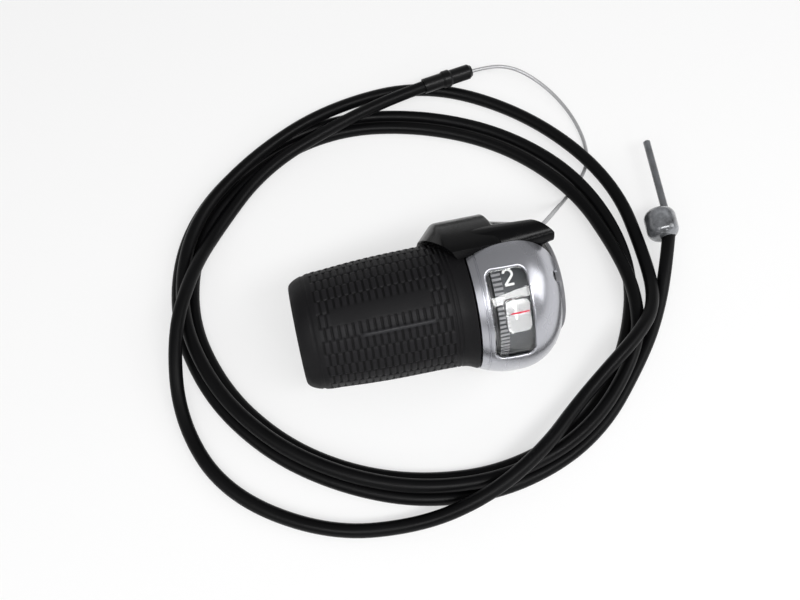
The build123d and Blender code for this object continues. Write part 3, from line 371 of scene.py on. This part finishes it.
def grid_mesh(name, points, wrap_u=False, wrap_v=False):
    """Mesh of a grid of points: each cell is a quad, and a wrapped direction closes on itself.

    The quads are turned outwards by the sign of the volume that they enclose.
    """
    quads = grid_quads(*points.shape[:2], wrap_u, wrap_v)
    flat = points.reshape(-1, 3)
    a, b, c, d = (flat[quads[:, k]] for k in range(4))
    volume = np.sum(a * (np.cross(b, c) + np.cross(c, d)))
    if volume < 0:
        quads = quads[:, ::-1]
    mesh = bpy.data.meshes.new(name)
    mesh.from_pydata(flat, [], quads)
    mesh.update()
    mesh.shade_smooth()
    return mesh


def capped(rings):
    """Closes a tube's ends: each end ring is repeated and shrunk to its own middle."""
    first = np.repeat(rings[:1].mean(axis=1, keepdims=True), rings.shape[1], axis=1)
    last = np.repeat(rings[-1:].mean(axis=1, keepdims=True), rings.shape[1], axis=1)
    return np.concatenate([first, rings, last])


def store(mesh, name, values):
    """Keeps one value for each point of a mesh, for its material to read."""
    mesh.attributes.new(name, "FLOAT", "POINT").data.foreach_set("value", values.ravel())


def start_material(name):
    """New material with its node tree, its Principled shader and its texture coordinates."""
    material = bpy.data.materials.new(name)
    material.use_nodes = True
    tree = material.node_tree
    shader = tree.nodes["Principled BSDF"]
    place = tree.nodes.new("ShaderNodeTexCoord")
    return material, tree, shader, place


def noise(tree, vector, scale, detail=3.0, roughness=0.55):
    """Noise texture's even value at a scale in cells for each unit of its vector."""
    node = tree.nodes.new("ShaderNodeTexNoise")
    node.inputs["Scale"].default_value = scale
    node.inputs["Detail"].default_value = detail
    node.inputs["Roughness"].default_value = roughness
    tree.links.new(vector, node.inputs["Vector"])
    return node.outputs["Fac"]


def ranged(tree, value, start, end, low, high):
    """Maps a value from one range to another, and holds it at that range's ends."""
    node = tree.nodes.new("ShaderNodeMapRange")
    node.inputs["From Min"].default_value = start
    node.inputs["From Max"].default_value = end
    node.inputs["To Min"].default_value = low
    node.inputs["To Max"].default_value = high
    tree.links.new(value, node.inputs["Value"])
    return node.outputs["Result"]


def spread(tree, value, low, high):
    """Maps a noise value's middle range to another range."""
    return ranged(tree, value, 0.3, 0.7, low, high)


def worked_out(tree, operation, *values):
    """Result of a Math node, of which each value is a number or another node's output."""
    node = tree.nodes.new("ShaderNodeMath")
    node.operation = operation
    for socket, value in zip(node.inputs, values):
        if isinstance(value, float):
            socket.default_value = value
        else:
            tree.links.new(value, socket)
    return node.outputs["Value"]


def stretched(tree, vector, scale):
    """Coordinates with a scale of their own in each direction."""
    node = tree.nodes.new("ShaderNodeMapping")
    node.inputs["Scale"].default_value = scale
    tree.links.new(vector, node.inputs["Vector"])
    return node.outputs["Vector"]


def tinted(tree, value, colour, dark, light):
    """Colour that varies from dark to light times the given one as the value rises."""
    node = tree.nodes.new("ShaderNodeMix")
    node.data_type = "RGBA"
    node.inputs["A"].default_value = [c * dark for c in colour[:3]] + [1.0]
    node.inputs["B"].default_value = [min(c * light, 1.0) for c in colour[:3]] + [1.0]
    tree.links.new(value, node.inputs["Factor"])
    return node.outputs["Result"]


def overpaint(tree, mask, colour):
    """Puts a second colour over the shader's own, where the mask is 1."""
    socket = tree.nodes["Principled BSDF"].inputs["Base Color"]
    node = tree.nodes.new("ShaderNodeMix")
    node.data_type = "RGBA"
    node.inputs["B"].default_value = colour
    tree.links.new(mask, node.inputs["Factor"])
    tree.links.new(socket.links[0].from_socket, node.inputs["A"])
    tree.links.new(node.outputs["Result"], socket)


def bump(tree, shader, height, strength, distance):
    """Adds a small relief to the shader's normal."""
    node = tree.nodes.new("ShaderNodeBump")
    node.inputs["Strength"].default_value = strength
    node.inputs["Distance"].default_value = distance
    tree.links.new(height, node.inputs["Height"])
    tree.links.new(node.outputs["Normal"], shader.inputs["Normal"])


def mixed_surface(tree, share, first, second):
    """Makes the surface one shader where the share is 0 and another where it is 1."""
    mix = tree.nodes.new("ShaderNodeMixShader")
    tree.links.new(share, mix.inputs["Fac"])
    tree.links.new(first, mix.inputs[1])
    tree.links.new(second, mix.inputs[2])
    tree.links.new(mix.outputs["Shader"], tree.nodes["Material Output"].inputs["Surface"])


def bore_place(tree):
    """Place along the bore and distance from its axis, from object coordinates."""
    place = tree.nodes["Texture Coordinate"].outputs["Object"]
    parts = tree.nodes.new("ShaderNodeSeparateXYZ")
    tree.links.new(place, parts.inputs["Vector"])
    flat = tree.nodes.new("ShaderNodeVectorMath")
    flat.operation = "MULTIPLY"
    flat.inputs[1].default_value = (0.0, 1.0, 1.0)
    tree.links.new(place, flat.inputs[0])
    reach = tree.nodes.new("ShaderNodeVectorMath")
    reach.operation = "LENGTH"
    tree.links.new(flat.outputs["Vector"], reach.inputs[0])
    return parts.outputs["X"], reach.outputs["Value"]


def seen_rays(tree):
    """1 for rays that come from the camera, by a reflection or through clear plastic."""
    path = tree.nodes.new("ShaderNodeLightPath")
    total = path.outputs["Is Camera Ray"]
    for ray in ("Is Glossy Ray", "Is Transmission Ray"):
        total = worked_out(tree, "MAXIMUM", total, path.outputs[ray])
    return total


def moulded_finish(name, colour, rough, grain, relief, gloss=0.25):
    """Moulded plastic or rubber: cloudy colour, uneven gloss and a fine spark-eroded grain."""
    material, tree, shader, place = start_material(name)
    cloud = noise(tree, place.outputs["Object"], 90.0)
    tree.links.new(tinted(tree, cloud, colour, 0.8, 1.25), shader.inputs["Base Color"])
    patches = noise(tree, place.outputs["Object"], 220.0)
    tree.links.new(spread(tree, patches, rough - 0.05, rough + 0.07), shader.inputs["Roughness"])
    bump(tree, shader, noise(tree, place.outputs["Object"], grain, 2.0), relief, 0.05 * MM)
    shader.inputs["Specular IOR Level"].default_value = gloss
    return material


def silver_finish(name, colour):
    """Silver paint: fine metal flakes under a thin clear coat."""
    material, tree, shader, place = start_material(name)
    flakes = tree.nodes.new("ShaderNodeTexVoronoi")
    flakes.inputs["Scale"].default_value = 9000.0
    tree.links.new(place.outputs["Object"], flakes.inputs["Vector"])
    tree.links.new(tinted(tree, flakes.outputs["Distance"], colour, 1.06, 0.86),
                   shader.inputs["Base Color"])
    patches = noise(tree, place.outputs["Object"], 60.0)
    tree.links.new(spread(tree, patches, 0.24, 0.32), shader.inputs["Roughness"])
    bump(tree, shader, noise(tree, place.outputs["Object"], 2500.0, 2.0), 0.05, 0.03 * MM)
    shader.inputs["Metallic"].default_value = 0.9
    shader.inputs["Coat Weight"].default_value = 0.35
    shader.inputs["Coat Roughness"].default_value = 0.12
    return material


def clear_finish(name):
    """Clear plastic that lets the lamps' light through to the drum."""
    material, tree, shader, _ = start_material(name)
    shader.inputs["Base Color"].default_value = (0.97, 0.975, 0.97, 1.0)
    shader.inputs["Roughness"].default_value = 0.03
    shader.inputs["IOR"].default_value = 1.49
    shader.inputs["Transmission Weight"].default_value = 1.0
    path = tree.nodes.new("ShaderNodeLightPath")
    passing = tree.nodes.new("ShaderNodeBsdfTransparent")
    mixed_surface(tree, path.outputs["Is Shadow Ray"], shader.outputs["BSDF"],
                  passing.outputs["BSDF"])
    return material


def print_finish(name, colour):
    """Printed ink: even colour with a little unevenness where it is thin."""
    material, tree, shader, place = start_material(name)
    thin = noise(tree, place.outputs["Object"], 900.0)
    tree.links.new(tinted(tree, thin, colour, 0.9, 1.05), shader.inputs["Base Color"])
    shader.inputs["Roughness"].default_value = 0.6
    shader.inputs["Specular IOR Level"].default_value = 0.1
    return material


def steel_finish(name, colour, rough, stretch, metal=1.0):
    """Bright or galvanised steel with fine lines that a stretch draws out along the bore."""
    material, tree, shader, place = start_material(name)
    lines = noise(tree, stretched(tree, place.outputs["Object"], stretch), 700.0)
    tree.links.new(tinted(tree, lines, colour, 0.85, 1.1), shader.inputs["Base Color"])
    tree.links.new(spread(tree, lines, rough - 0.06, rough + 0.08), shader.inputs["Roughness"])
    bump(tree, shader, lines, 0.08, 0.03 * MM)
    shader.inputs["Metallic"].default_value = metal
    return material


def jacket_finish(name, colour):
    """Extruded casing jacket: a soft gloss with faint lines along it and a few dull patches."""
    material, tree, shader, place = start_material(name)
    lines = noise(tree, stretched(tree, place.outputs["UV"], (3.0, 24.0, 1.0)), 6.0)
    patches = noise(tree, place.outputs["Object"], 45.0)
    tree.links.new(tinted(tree, patches, colour, 0.8, 1.5), shader.inputs["Base Color"])
    tree.links.new(spread(tree, patches, 0.32, 0.46), shader.inputs["Roughness"])
    bump(tree, shader, lines, 0.12, 0.05 * MM)
    shader.inputs["Specular IOR Level"].default_value = 0.12
    return material


def enamel_finish(name, colour, mottle, wave):
    """Glossy enamel on metal: mottled colour over a wavy surface, each from none to strong."""
    material, tree, shader, place = start_material(name)
    blotch = spread(tree, noise(tree, place.outputs["Object"], 330.0), 0.0, 1.0)
    tree.links.new(tinted(tree, blotch, colour, 1 - mottle, 1 + 1.6 * mottle),
                   shader.inputs["Base Color"])
    bump(tree, shader, noise(tree, place.outputs["Object"], 260.0, 1.0), wave, 0.5 * MM)
    shader.inputs["Metallic"].default_value = 0.35
    shader.inputs["Roughness"].default_value = 0.2
    shader.inputs["Coat Weight"].default_value = 0.8
    shader.inputs["Coat Roughness"].default_value = 0.06
    return material


def wear_and_painted_light(material, name, colour, smoother):
    """Another colour and a lower roughness by the mesh's stored value of that name, for wear and
    painted light.
    """
    tree = material.node_tree
    stored = tree.nodes.new("ShaderNodeAttribute")
    stored.attribute_name = name
    share = stored.outputs["Fac"]
    overpaint(tree, share, colour)
    roughness = tree.nodes["Principled BSDF"].inputs["Roughness"]
    plain = roughness.links[0].from_socket
    tree.links.new(worked_out(tree, "MULTIPLY_ADD", share, -smoother, plain), roughness)


def tint_collar(material, colour):
    """Grey on the clamp collar: inboard of its flange and inside the flange's radius."""
    tree = material.node_tree
    x, reach = bore_place(tree)
    mask = worked_out(tree, "MULTIPLY", worked_out(tree, "GREATER_THAN", x, COLLAR_FROM),
                      worked_out(tree, "LESS_THAN", reach, COLLAR_REACH))
    overpaint(tree, mask, colour)


def ink_teeth(material, colour):
    """Grey ink on the outer faces of the drum's teeth, at its outboard end."""
    tree = material.node_tree
    x, reach = bore_place(tree)
    mask = worked_out(tree, "MULTIPLY", worked_out(tree, "LESS_THAN", x, TEETH_TO),
                      worked_out(tree, "GREATER_THAN", reach, DRUM_RADIUS - TEETH_DEPTH))
    overpaint(tree, mask, colour)


def dress(material, *names):
    """Gives solids a finish in place of their plain one."""
    for name in names:
        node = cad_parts[name]
        node.data.materials.clear()
        node.data.materials.append(material)


def sleeve_section():
    """Closed section of the sleeve: x and radius from the open end along the flare and back.

    The open end is a quarter of an ellipse, the outside a cubic curve through five radii,
    and the way back a straight line along the tube.
    """
    low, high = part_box("grip_sleeve")
    turn = np.linspace(0.0, np.pi / 2, END_RINGS)
    end_x = low.x + END_LENGTH * (1 - np.cos(turn))
    end_r = END_RADIUS + END_RISE * np.sin(turn)
    side_x = np.linspace(low.x + END_LENGTH, high.x, SIDE_RINGS)[1:]
    side_r = hermite(side_x, np.append(SIDE_X, high.x / MM) * MM, np.array(SIDE_RADIUS) * MM,
                     SIDE_SLOPE)
    lip_x = np.array([high.x, high.x, low.x + LIP_LENGTH, low.x + LIP_LENGTH, low.x])
    lip_r = np.array([FLARE_BORE, SLEEVE_BORE, SLEEVE_BORE, LIP_BORE, LIP_BORE])
    return np.concatenate([end_x, side_x, lip_x]), np.concatenate([end_r, side_r, lip_r])


def ridge_share(x, angle):
    """1 on the smooth ridge along the grip and 0 away from it, fading out at its ends."""
    aside = (angle - RIDGE_ANGLE + np.pi) % (2 * np.pi) - np.pi
    across = near(aside * GRIP_RADIUS, 0.0, RIDGE_HALF_WIDTH, RIDGE_EDGE)
    return across * band(x, *RIDGE_SPAN, RIDGE_FADE)


def ribbed_share(x, angle):
    """1 where the sleeve has ribs and 0 at its ends, on a bare band and on the smooth ridge."""
    bare = band(np.degrees(angle) % 360.0, *BARE_ANGLES, BARE_ANGLE_FADE)
    bare = bare * band(x, *BARE_SPAN, BARE_FADE)
    return band(x, *RIB_SPAN, RIB_FADE) * (1 - bare) * (1 - ridge_share(x, angle))


def rib_wave(x, angle, settings):
    """Height of the ribs, from 0 in a gap to 1 on a top.

    Along a row the ribs are a rounded square wave, set half a pitch over in every other row.
    Between rows they are a little under half as high.
    """
    turn = (angle - RIDGE_ANGLE) / (2 * np.pi / settings.rows)
    row = np.floor(turn)
    phase = (x / settings.pitch + 0.5 * np.mod(row, 2)) % 1.0
    between = 1 - band(turn - row, *ROW_FLAT, ROW_SLOPE)
    return band(phase, *RIB_TOP, RIB_SLOPE) * (1 - ROW_DIP * between)


def sleeve_relief(x, angle, settings):
    """Height of the sleeve's relief: gaps between the ribs, the smooth ridge and three rings.

    Two fine rings mark the start of the flare, and a wider one the open end.
    """
    gaps = ribbed_share(x, angle) * (1 - rib_wave(x, angle, settings))
    relief = settings.ridge * ridge_share(x, angle) - settings.depth * gaps
    first, second = (near(x, ring, FLARE_RING_HALF_WIDTH, FLARE_RING_EDGE) for ring in FLARE_RINGS)
    wide = near(x, END_RING, END_RING_HALF_WIDTH, END_RING_EDGE)
    return relief - FLARE_RING_DEPTH * np.maximum(first, second) - END_RING_DEPTH * wide


class SHIFTER_OT_grip(bpy.types.Operator):
    """Ribbed rubber sleeve and the tube that it sits on"""

    bl_idname = "shifter.grip"
    bl_label = "Grip"

    def execute(self, context):
        settings = context.scene.shifter_grip
        x, radius = (values[:, None] for values in sleeve_section())
        turn = (np.arange(settings.rows)[:, None] + ROW_LINES).reshape(1, -1) / settings.rows
        angle = RIDGE_ANGLE + 2 * np.pi * turn
        outside = radius > RELIEF_RADIUS
        relief = np.where(outside, sleeve_relief(x, angle, settings), 0.0)
        mesh = grid_mesh("grip_rubber", around(x, radius + relief, angle),
                         wrap_u=True, wrap_v=True)
        # Painted shade share: 0 in the gaps between the ribs, 1 on the worn tops and 0.5 on plain
        # rubber
        tops = 0.5 + ribbed_share(x, angle) * (rib_wave(x, angle, settings) - 0.5)
        store(mesh, "wear_and_gap_shade", np.where(outside, tops, 0.0))
        # Share of the ridge's painted highlight colour and its lower roughness
        store(mesh, "smooth_ridge_painted_highlight", np.where(outside, ridge_share(x, angle), 0.0))
        rubber = moulded_finish("grip rubber", settings.colour, rough=0.6, grain=2600.0,
                                relief=0.25, gloss=0.17)
        # Lighter rib tops and darker gaps: wear and painted shade, with smoother tops
        wear_and_painted_light(rubber, "wear_and_gap_shade", settings.wear_and_gap_shade, smoother=0.07)
        # Smooth ridge: a painted highlight in its colour and a lower roughness
        wear_and_painted_light(rubber, "smooth_ridge_painted_highlight", settings.smooth_ridge_painted_highlight, smoother=0.2)
        piece = add_object("grip_rubber", mesh, "grip", rubber)
        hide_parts("grip_sleeve")
        nylon = moulded_finish("tube nylon", (0.03, 0.03, 0.033), rough=0.42, grain=1800.0,
                               relief=0.15)
        dress(nylon, "twist_tube")
        return {"FINISHED"}


class SHIFTER_OT_housing(bpy.types.Operator):
    """Black housing, silver cover and the clamp's steel parts"""

    bl_idname = "shifter.housing"
    bl_label = "Housing"

    def execute(self, context):
        settings = context.scene.shifter_housing
        plastic = moulded_finish("housing plastic", settings.plastic, rough=0.22, grain=2200.0,
                                 relief=0.08, gloss=0.14)
        tint_collar(plastic, settings.collar)
        dress(plastic, "housing_base")
        dress(silver_finish("cover paint", settings.silver), "window_cover")
        drawn = (1.0, 6.0, 6.0)
        bright = steel_finish("bright steel", (0.45, 0.45, 0.46), rough=0.36, stretch=drawn)
        dress(bright, "clamp_screw", "clamp_nut", "clamp_shoe", "detent_spring", "cable_nipple")
        black = steel_finish("black steel", (0.03, 0.03, 0.032), rough=0.42, stretch=drawn)
        dress(black, "cover_screws")
        nylon = moulded_finish("washer nylon", (0.5, 0.49, 0.46), rough=0.45, grain=1500.0,
                               relief=0.1)
        dress(nylon, "thrust_washer")
        return {"FINISHED"}


# Strokes of the plain numbers in a box one unit high: an arc is centre, radii and two angles
NUMBER_STROKES = (
    (("line", (-0.16, 0.34), (0.04, 0.5)), ("line", (0.04, 0.5), (0.04, -0.5))),
    (("arc", (0.0, 0.22), (0.27, 0.28), (165.0, -38.0)), ("line", (0.21, 0.05), (-0.27, -0.46)),
     ("line", (-0.29, -0.46), (0.29, -0.46))),
    (("arc", (0.0, 0.24), (0.25, 0.26), (160.0, -90.0)),
     ("arc", (0.0, -0.24), (0.29, 0.26), (90.0, -160.0))),
)


def stroke_path(kind, *values):
    """Points along one stroke of a number: a straight line or a part of an ellipse."""
    t = np.linspace(0.0, 1.0, 36)[:, None]
    if kind == "line":
        start, end = np.array(values)
        return start * (1 - t) + end * t
    centre, radii, (start, end) = np.array(values)
    angle = np.radians(start + (end - start) * t)
    return centre + radii * np.concatenate([np.cos(angle), np.sin(angle)], axis=1)


def printed_stroke(name, stroke, height, angle):
    """Ink ribbon on the drum: the stroke's path widened to both sides, bent round the drum.

    Its sideways place runs along the bore and its height round the drum, upwards to the top.
    """
    path = stroke_path(*stroke) * height
    along = unit(np.gradient(path, axis=0))
    normal = np.stack([-along[:, 1], along[:, 0]], axis=1)
    turn = np.linspace(0.0, 2 * np.pi, 13)[:-1]
    side = INK_HALF_WIDTH * height * np.sign(np.cos(turn)) * np.abs(np.cos(turn))**0.4
    flat = path[:, None, :] + side[None, :, None] * normal[:, None, :]
    radius = DRUM_RADIUS + INK_LIFT + INK_HALF_HEIGHT * np.sin(turn)
    rings = around(NUMBER_X + flat[..., 0], radius, angle - flat[..., 1] / DRUM_RADIUS)
    return grid_mesh(name, capped(rings), wrap_v=True)


def pointer_mesh(name):
    """Flat line on the pad along the bore, with an ellipse as its section.

    Its width goes with the square root of 1 less the 12th power of the place along it, from
    -1 at one end to 1 at the other, so that the ends are round.
    """
    t = np.linspace(-1.0, 1.0, 24)[:, None]
    turn = np.linspace(0.0, 2 * np.pi, 17)[None, :-1]
    width = POINTER_HALF_WIDTH * np.sqrt(np.maximum(1 - np.abs(t)**12, 0.0)) + 1e-6
    out = PAD_HEIGHT + POINTER_HALF_HEIGHT * np.sin(turn)
    aside = width * np.cos(turn) - POINTER_RISE
    rings = np.stack(np.broadcast_arrays(
        POINTER_X + POINTER_HALF_LENGTH * t,
        out * np.cos(PAD_ANGLE) - aside * np.sin(PAD_ANGLE),
        out * np.sin(PAD_ANGLE) + aside * np.cos(PAD_ANGLE)), axis=-1)
    return grid_mesh(name, capped(rings), wrap_v=True)


class SHIFTER_OT_window(bpy.types.Operator):
    """Lens with its pointer, and the drum with its printed numbers"""

    bl_idname = "shifter.window"
    bl_label = "Window"

    def execute(self, context):
        settings = context.scene.shifter_housing
        dress(clear_finish("lens plastic"), "window_lens")
        drum = moulded_finish("drum plastic", settings.drum, rough=0.4, grain=1800.0, relief=0.1)
        ink_teeth(drum, settings.teeth)
        dress(drum, "number_drum")
        white = print_finish("white print", settings.ink)
        for step, strokes in enumerate(NUMBER_STROKES):
            angle = PAD_ANGLE - step * STEP_ANGLE
            for part, stroke in enumerate(strokes):
                name = f"number_{step + 1}_stroke_{part + 1}"
                mesh = printed_stroke(name, stroke, settings.number_height, angle)
                add_object(name, mesh, "grip", white)
        red = print_finish("red print", settings.pointer)
        add_object("pointer_line", pointer_mesh("pointer_line"), "housing", red)
        return {"FINISHED"}


def ferrule_point(back):
    """Point on the ferrule's axis, a distance back from its tip."""
    direction = np.array([np.cos(FERRULE_TURN), np.sin(FERRULE_TURN), 0.0])
    return np.array(FERRULE_TIP) - direction * back


def casing_route():
    """Control points of the casing: out of the ferrule, then round the coil."""
    angle, radius, height = np.array(COIL, dtype=float).T
    angle, radius, height = np.radians(angle), radius * MM, height * MM
    coil = np.stack([COIL_CENTRE[0] + radius * np.cos(angle),
                     COIL_CENTRE[1] + radius * np.sin(angle), FLOOR_Z + height], axis=1)
    return np.concatenate([[ferrule_point(FERRULE_SEAT), ferrule_point(CASING_LEAD)], coil])


def wire_route():
    """Control points of the wire: straight out of the nose, over the floor and into the ferrule."""
    nose = around(np.array([WIRE_START_X, WIRE_TURN_X]), NOSE_RADIUS, NOSE_ANGLE)
    tail = [ferrule_point(-WIRE_TAIL), ferrule_point(FERRULE_SEAT)]
    return np.concatenate([nose, np.array(WIRE) * MM, tail])


def route_curve(name, points, steps):
    """Smooth open curve of third order with the route's points as its control points."""
    curve = bpy.data.curves.new(name, "CURVE")
    curve.dimensions = "3D"
    spline = curve.splines.new("NURBS")
    spline.points.add(len(points) - 1)
    spline.points.foreach_set("co", np.column_stack([points, np.ones(len(points))]).ravel())
    spline.order_u = 3
    spline.use_endpoint_u = True
    spline.resolution_u = steps
    return curve


def curve_points(curve):
    """Points along a curve with no thickness, as Blender evaluates it."""
    holder = bpy.data.objects.new("route", curve)
    bpy.context.scene.collection.objects.link(holder)
    evaluated = holder.evaluated_get(bpy.context.evaluated_depsgraph_get())
    line = bpy.data.meshes.new_from_object(evaluated)
    points = np.empty(len(line.vertices) * 3)
    line.vertices.foreach_get("co", points)
    bpy.data.meshes.remove(line)
    bpy.data.objects.remove(holder)
    return points.reshape(-1, 3)


def run_along(points):
    """Length of a line through points, from its start to each of them."""
    return np.concatenate([[0.0], np.cumsum(np.linalg.norm(np.diff(points, axis=0), axis=1))])


def path_length(points):
    """Length of a line through points."""
    return float(run_along(points)[-1])


def stranded_tube(name, path, settings):
    """Twisted wire: a round section with a shallow valley between strands, turned along the path.

    The section's frame comes from the path's direction and one fixed direction.
    """
    ahead = unit(np.gradient(path, axis=0))
    side = unit(np.cross(ahead, FIXED_DIRECTION))
    up = np.cross(side, ahead)
    turn = np.linspace(0.0, 2 * np.pi, STRAND_POINTS * settings.strands + 1)[None, :-1]
    twist = 2 * np.pi * run_along(path)[:, None] / settings.lay_length
    lobe = np.abs(np.cos(settings.strands / 2 * (turn - twist)))
    reach = settings.wire_radius * (1 - VALLEY_SHARE + VALLEY_SHARE * np.sqrt(lobe))
    rings = (path[:, None, :] + (reach * np.cos(turn))[..., None] * side[:, None, :]
             + (reach * np.sin(turn))[..., None] * up[:, None, :])
    return grid_mesh(name, capped(rings), wrap_v=True)


class SHIFTER_OT_wire(bpy.types.Operator):
    """Stranded inner wire from the nose to the ferrule, and the wire on the spool"""

    bl_idname = "shifter.wire"
    bl_label = "Inner wire"

    def execute(self, context):
        settings = context.scene.shifter_cable
        path = curve_points(route_curve("wire_route", wire_route(), WIRE_STEPS))
        steel = steel_finish("wire steel", settings.steel, rough=0.4, stretch=(1.0, 1.0, 1.0),
                             metal=0.5)
        mesh = stranded_tube("shift_wire", path, settings)
        wire = add_object("shift_wire", mesh, "housing", steel)
        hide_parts("inner_wire")
        dress(steel, "wire_lead", "wire_wrap")
        ferrule = moulded_finish("ferrule plastic", settings.casing, rough=0.34, grain=1800.0,
                                 relief=0.1)
        dress(ferrule, "casing_ferrule")
        return {"FINISHED"}


class SHIFTER_OT_casing(bpy.types.Operator):
    """Coiled casing from the ferrule to the barrel and rod on its far end"""

    bl_idname = "shifter.casing"
    bl_label = "Cable casing"

    def execute(self, context):
        settings = context.scene.shifter_cable
        route = casing_route()
        length = path_length(curve_points(route_curve("casing_line", route, LENGTH_STEPS)))
        curve = route_curve("shift_casing", route, CASING_STEPS)
        curve.bevel_depth = settings.casing_radius
        curve.bevel_resolution = CASING_ROUNDNESS
        curve.use_fill_caps = True
        casing = add_object("shift_casing", curve, "housing",
                            jacket_finish("casing jacket", settings.casing))
        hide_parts("cable_casing")
        barrel = enamel_finish("barrel enamel", settings.anchor, mottle=0.6, wave=0.9)
        dress(barrel, "anchor_barrel")
        rod = enamel_finish("rod enamel", settings.anchor, mottle=0.15, wave=0.05)
        dress(rod, "anchor_rod")
        return {"FINISHED"}


def floor_finish(name, settings):
    """Pale floor that turns to plain white away from the part, for the rays that are seen."""
    material, tree, shader, place = start_material(name)
    shader.inputs["Base Color"].default_value = settings.floor
    shader.inputs["Roughness"].default_value = 0.8
    shader.inputs["Specular IOR Level"].default_value = 0.2
    away = tree.nodes.new("ShaderNodeVectorMath")
    away.operation = "DISTANCE"
    away.inputs[1].default_value = settings.target
    tree.links.new(place.outputs["Object"], away.inputs[0])
    glow = ranged(tree, away.outputs["Value"], WHITE_FROM, WHITE_TO, settings.floor_glow, 1.0)
    share = worked_out(tree, "MULTIPLY", glow, seen_rays(tree))
    white = tree.nodes.new("ShaderNodeEmission")
    mixed_surface(tree, share, shader.outputs["BSDF"], white.outputs["Emission"])
    return material


def add_floor(scene, settings):
    """Flat grid of square cells around the target, just under the part."""
    reach = np.linspace(-FLOOR_REACH, FLOOR_REACH, FLOOR_CELLS + 1)
    x, y = np.meshgrid(settings.target[0] + reach, settings.target[1] + reach, indexing="ij")
    points = np.stack([x, y, np.full_like(x, FLOOR_Z - FLOOR_DROP)], axis=-1)
    mesh = bpy.data.meshes.new("floor")
    mesh.from_pydata(points.reshape(-1, 3), [], grid_quads(*x.shape))
    mesh.materials.append(floor_finish("pale floor", settings))
    floor = bpy.data.objects.new("floor", mesh)
    scene.collection.objects.link(floor)


def add_lamps(scene, settings):
    """Soft rectangular lamps that face the target."""
    for name, direction, distance, size, power in LAMPS:
        lamp = bpy.data.lights.new(name, "AREA")
        lamp.shape = "RECTANGLE"
        lamp.size, lamp.size_y = size
        lamp.energy = power
        holder = bpy.data.objects.new(name, lamp)
        away = Vector(direction).normalized()
        holder.location = Vector(settings.target) + away * distance
        holder.rotation_euler = away.to_track_quat("Z", "Y").to_euler()
        scene.collection.objects.link(holder)


def add_sky(scene, settings):
    """Even light from all around, with a white rim over the horizon for the rays that are seen."""
    world = bpy.data.worlds.new("sky")
    world.use_nodes = True
    tree = world.node_tree
    sky = tree.nodes["Background"]
    sky.inputs["Color"].default_value = (1.0, 1.0, 1.0, 1.0)
    place = tree.nodes.new("ShaderNodeTexCoord")
    parts = tree.nodes.new("ShaderNodeSeparateXYZ")
    tree.links.new(place.outputs["Generated"], parts.inputs["Vector"])
    rim = ranged(tree, parts.outputs["Z"], RIM_FROM, RIM_TO, 1.0, 0.0)
    share = worked_out(tree, "MULTIPLY", rim, seen_rays(tree))
    tree.links.new(ranged(tree, share, 0.0, 1.0, settings.world_strength, 1.0),
                   sky.inputs["Strength"])
    scene.world = world


def add_camera(scene, settings):
    """Camera that looks down at the target from the photograph's side."""
    camera = bpy.data.cameras.new("camera")
    camera.sensor_width = SENSOR_WIDTH
    camera.lens = settings.focal_length
    camera.clip_start = CLIP_START
    holder = bpy.data.objects.new("camera", camera)
    ahead = Vector((np.sin(settings.heading), np.cos(settings.heading), 0.0))
    down = Vector((0.0, 0.0, -1.0))
    view = ahead * np.cos(settings.elevation) + down * np.sin(settings.elevation)
    holder.location = Vector(settings.target) - view * settings.distance
    holder.rotation_euler = view.to_track_quat("-Z", "Y").to_euler()
    scene.collection.objects.link(holder)
    scene.camera = holder


class SHIFTER_OT_stage(bpy.types.Operator):
    """Pale floor, soft lamps, even sky and the camera"""

    bl_idname = "shifter.stage"
    bl_label = "Stage"

    def execute(self, context):
        scene, settings = context.scene, context.scene.shifter_stage
        add_floor(scene, settings)
        add_lamps(scene, settings)
        add_sky(scene, settings)
        add_camera(scene, settings)
        scene.view_settings.view_transform = "Standard"
        return {"FINISHED"}


class SHIFTER_PT_panel(bpy.types.Panel):
    """Lists the shifter's pieces in the sidebar"""

    bl_idname = "SHIFTER_PT_panel"
    bl_label = "Twist Grip Shifter"
    bl_space_type = "VIEW_3D"
    bl_region_type = "UI"
    bl_category = "Shifter"

    def draw(self, context):
        for operator in OPERATORS:
            self.layout.operator(operator.bl_idname)


SETTINGS = {
    "shifter_grip": GripSettings,
    "shifter_housing": HousingSettings,
    "shifter_cable": CableSettings,
    "shifter_stage": StageSettings,
}
OPERATORS = (SHIFTER_OT_grip, SHIFTER_OT_housing, SHIFTER_OT_window, SHIFTER_OT_wire,
             SHIFTER_OT_casing, SHIFTER_OT_stage)


def register():
    """Adds the settings to the scene, and the operators and the panel to Blender."""
    for name, group in SETTINGS.items():
        bpy.utils.register_class(group)
        setattr(bpy.types.Scene, name, PointerProperty(type=group))
    for cls in OPERATORS + (SHIFTER_PT_panel,):
        bpy.utils.register_class(cls)


def unregister():
    """Takes out the panel and the operators, then the settings."""
    for cls in (SHIFTER_PT_panel,) + OPERATORS[::-1]:
        bpy.utils.unregister_class(cls)
    for name, group in SETTINGS.items():
        delattr(bpy.types.Scene, name)
        bpy.utils.unregister_class(group)


def main():
    """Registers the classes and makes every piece."""
    register()
    bpy.ops.shifter.grip()
    bpy.ops.shifter.housing()
    bpy.ops.shifter.window()
    bpy.ops.shifter.wire()
    bpy.ops.shifter.casing()
    bpy.ops.shifter.stage()


if __name__ == "__main__":
    main()
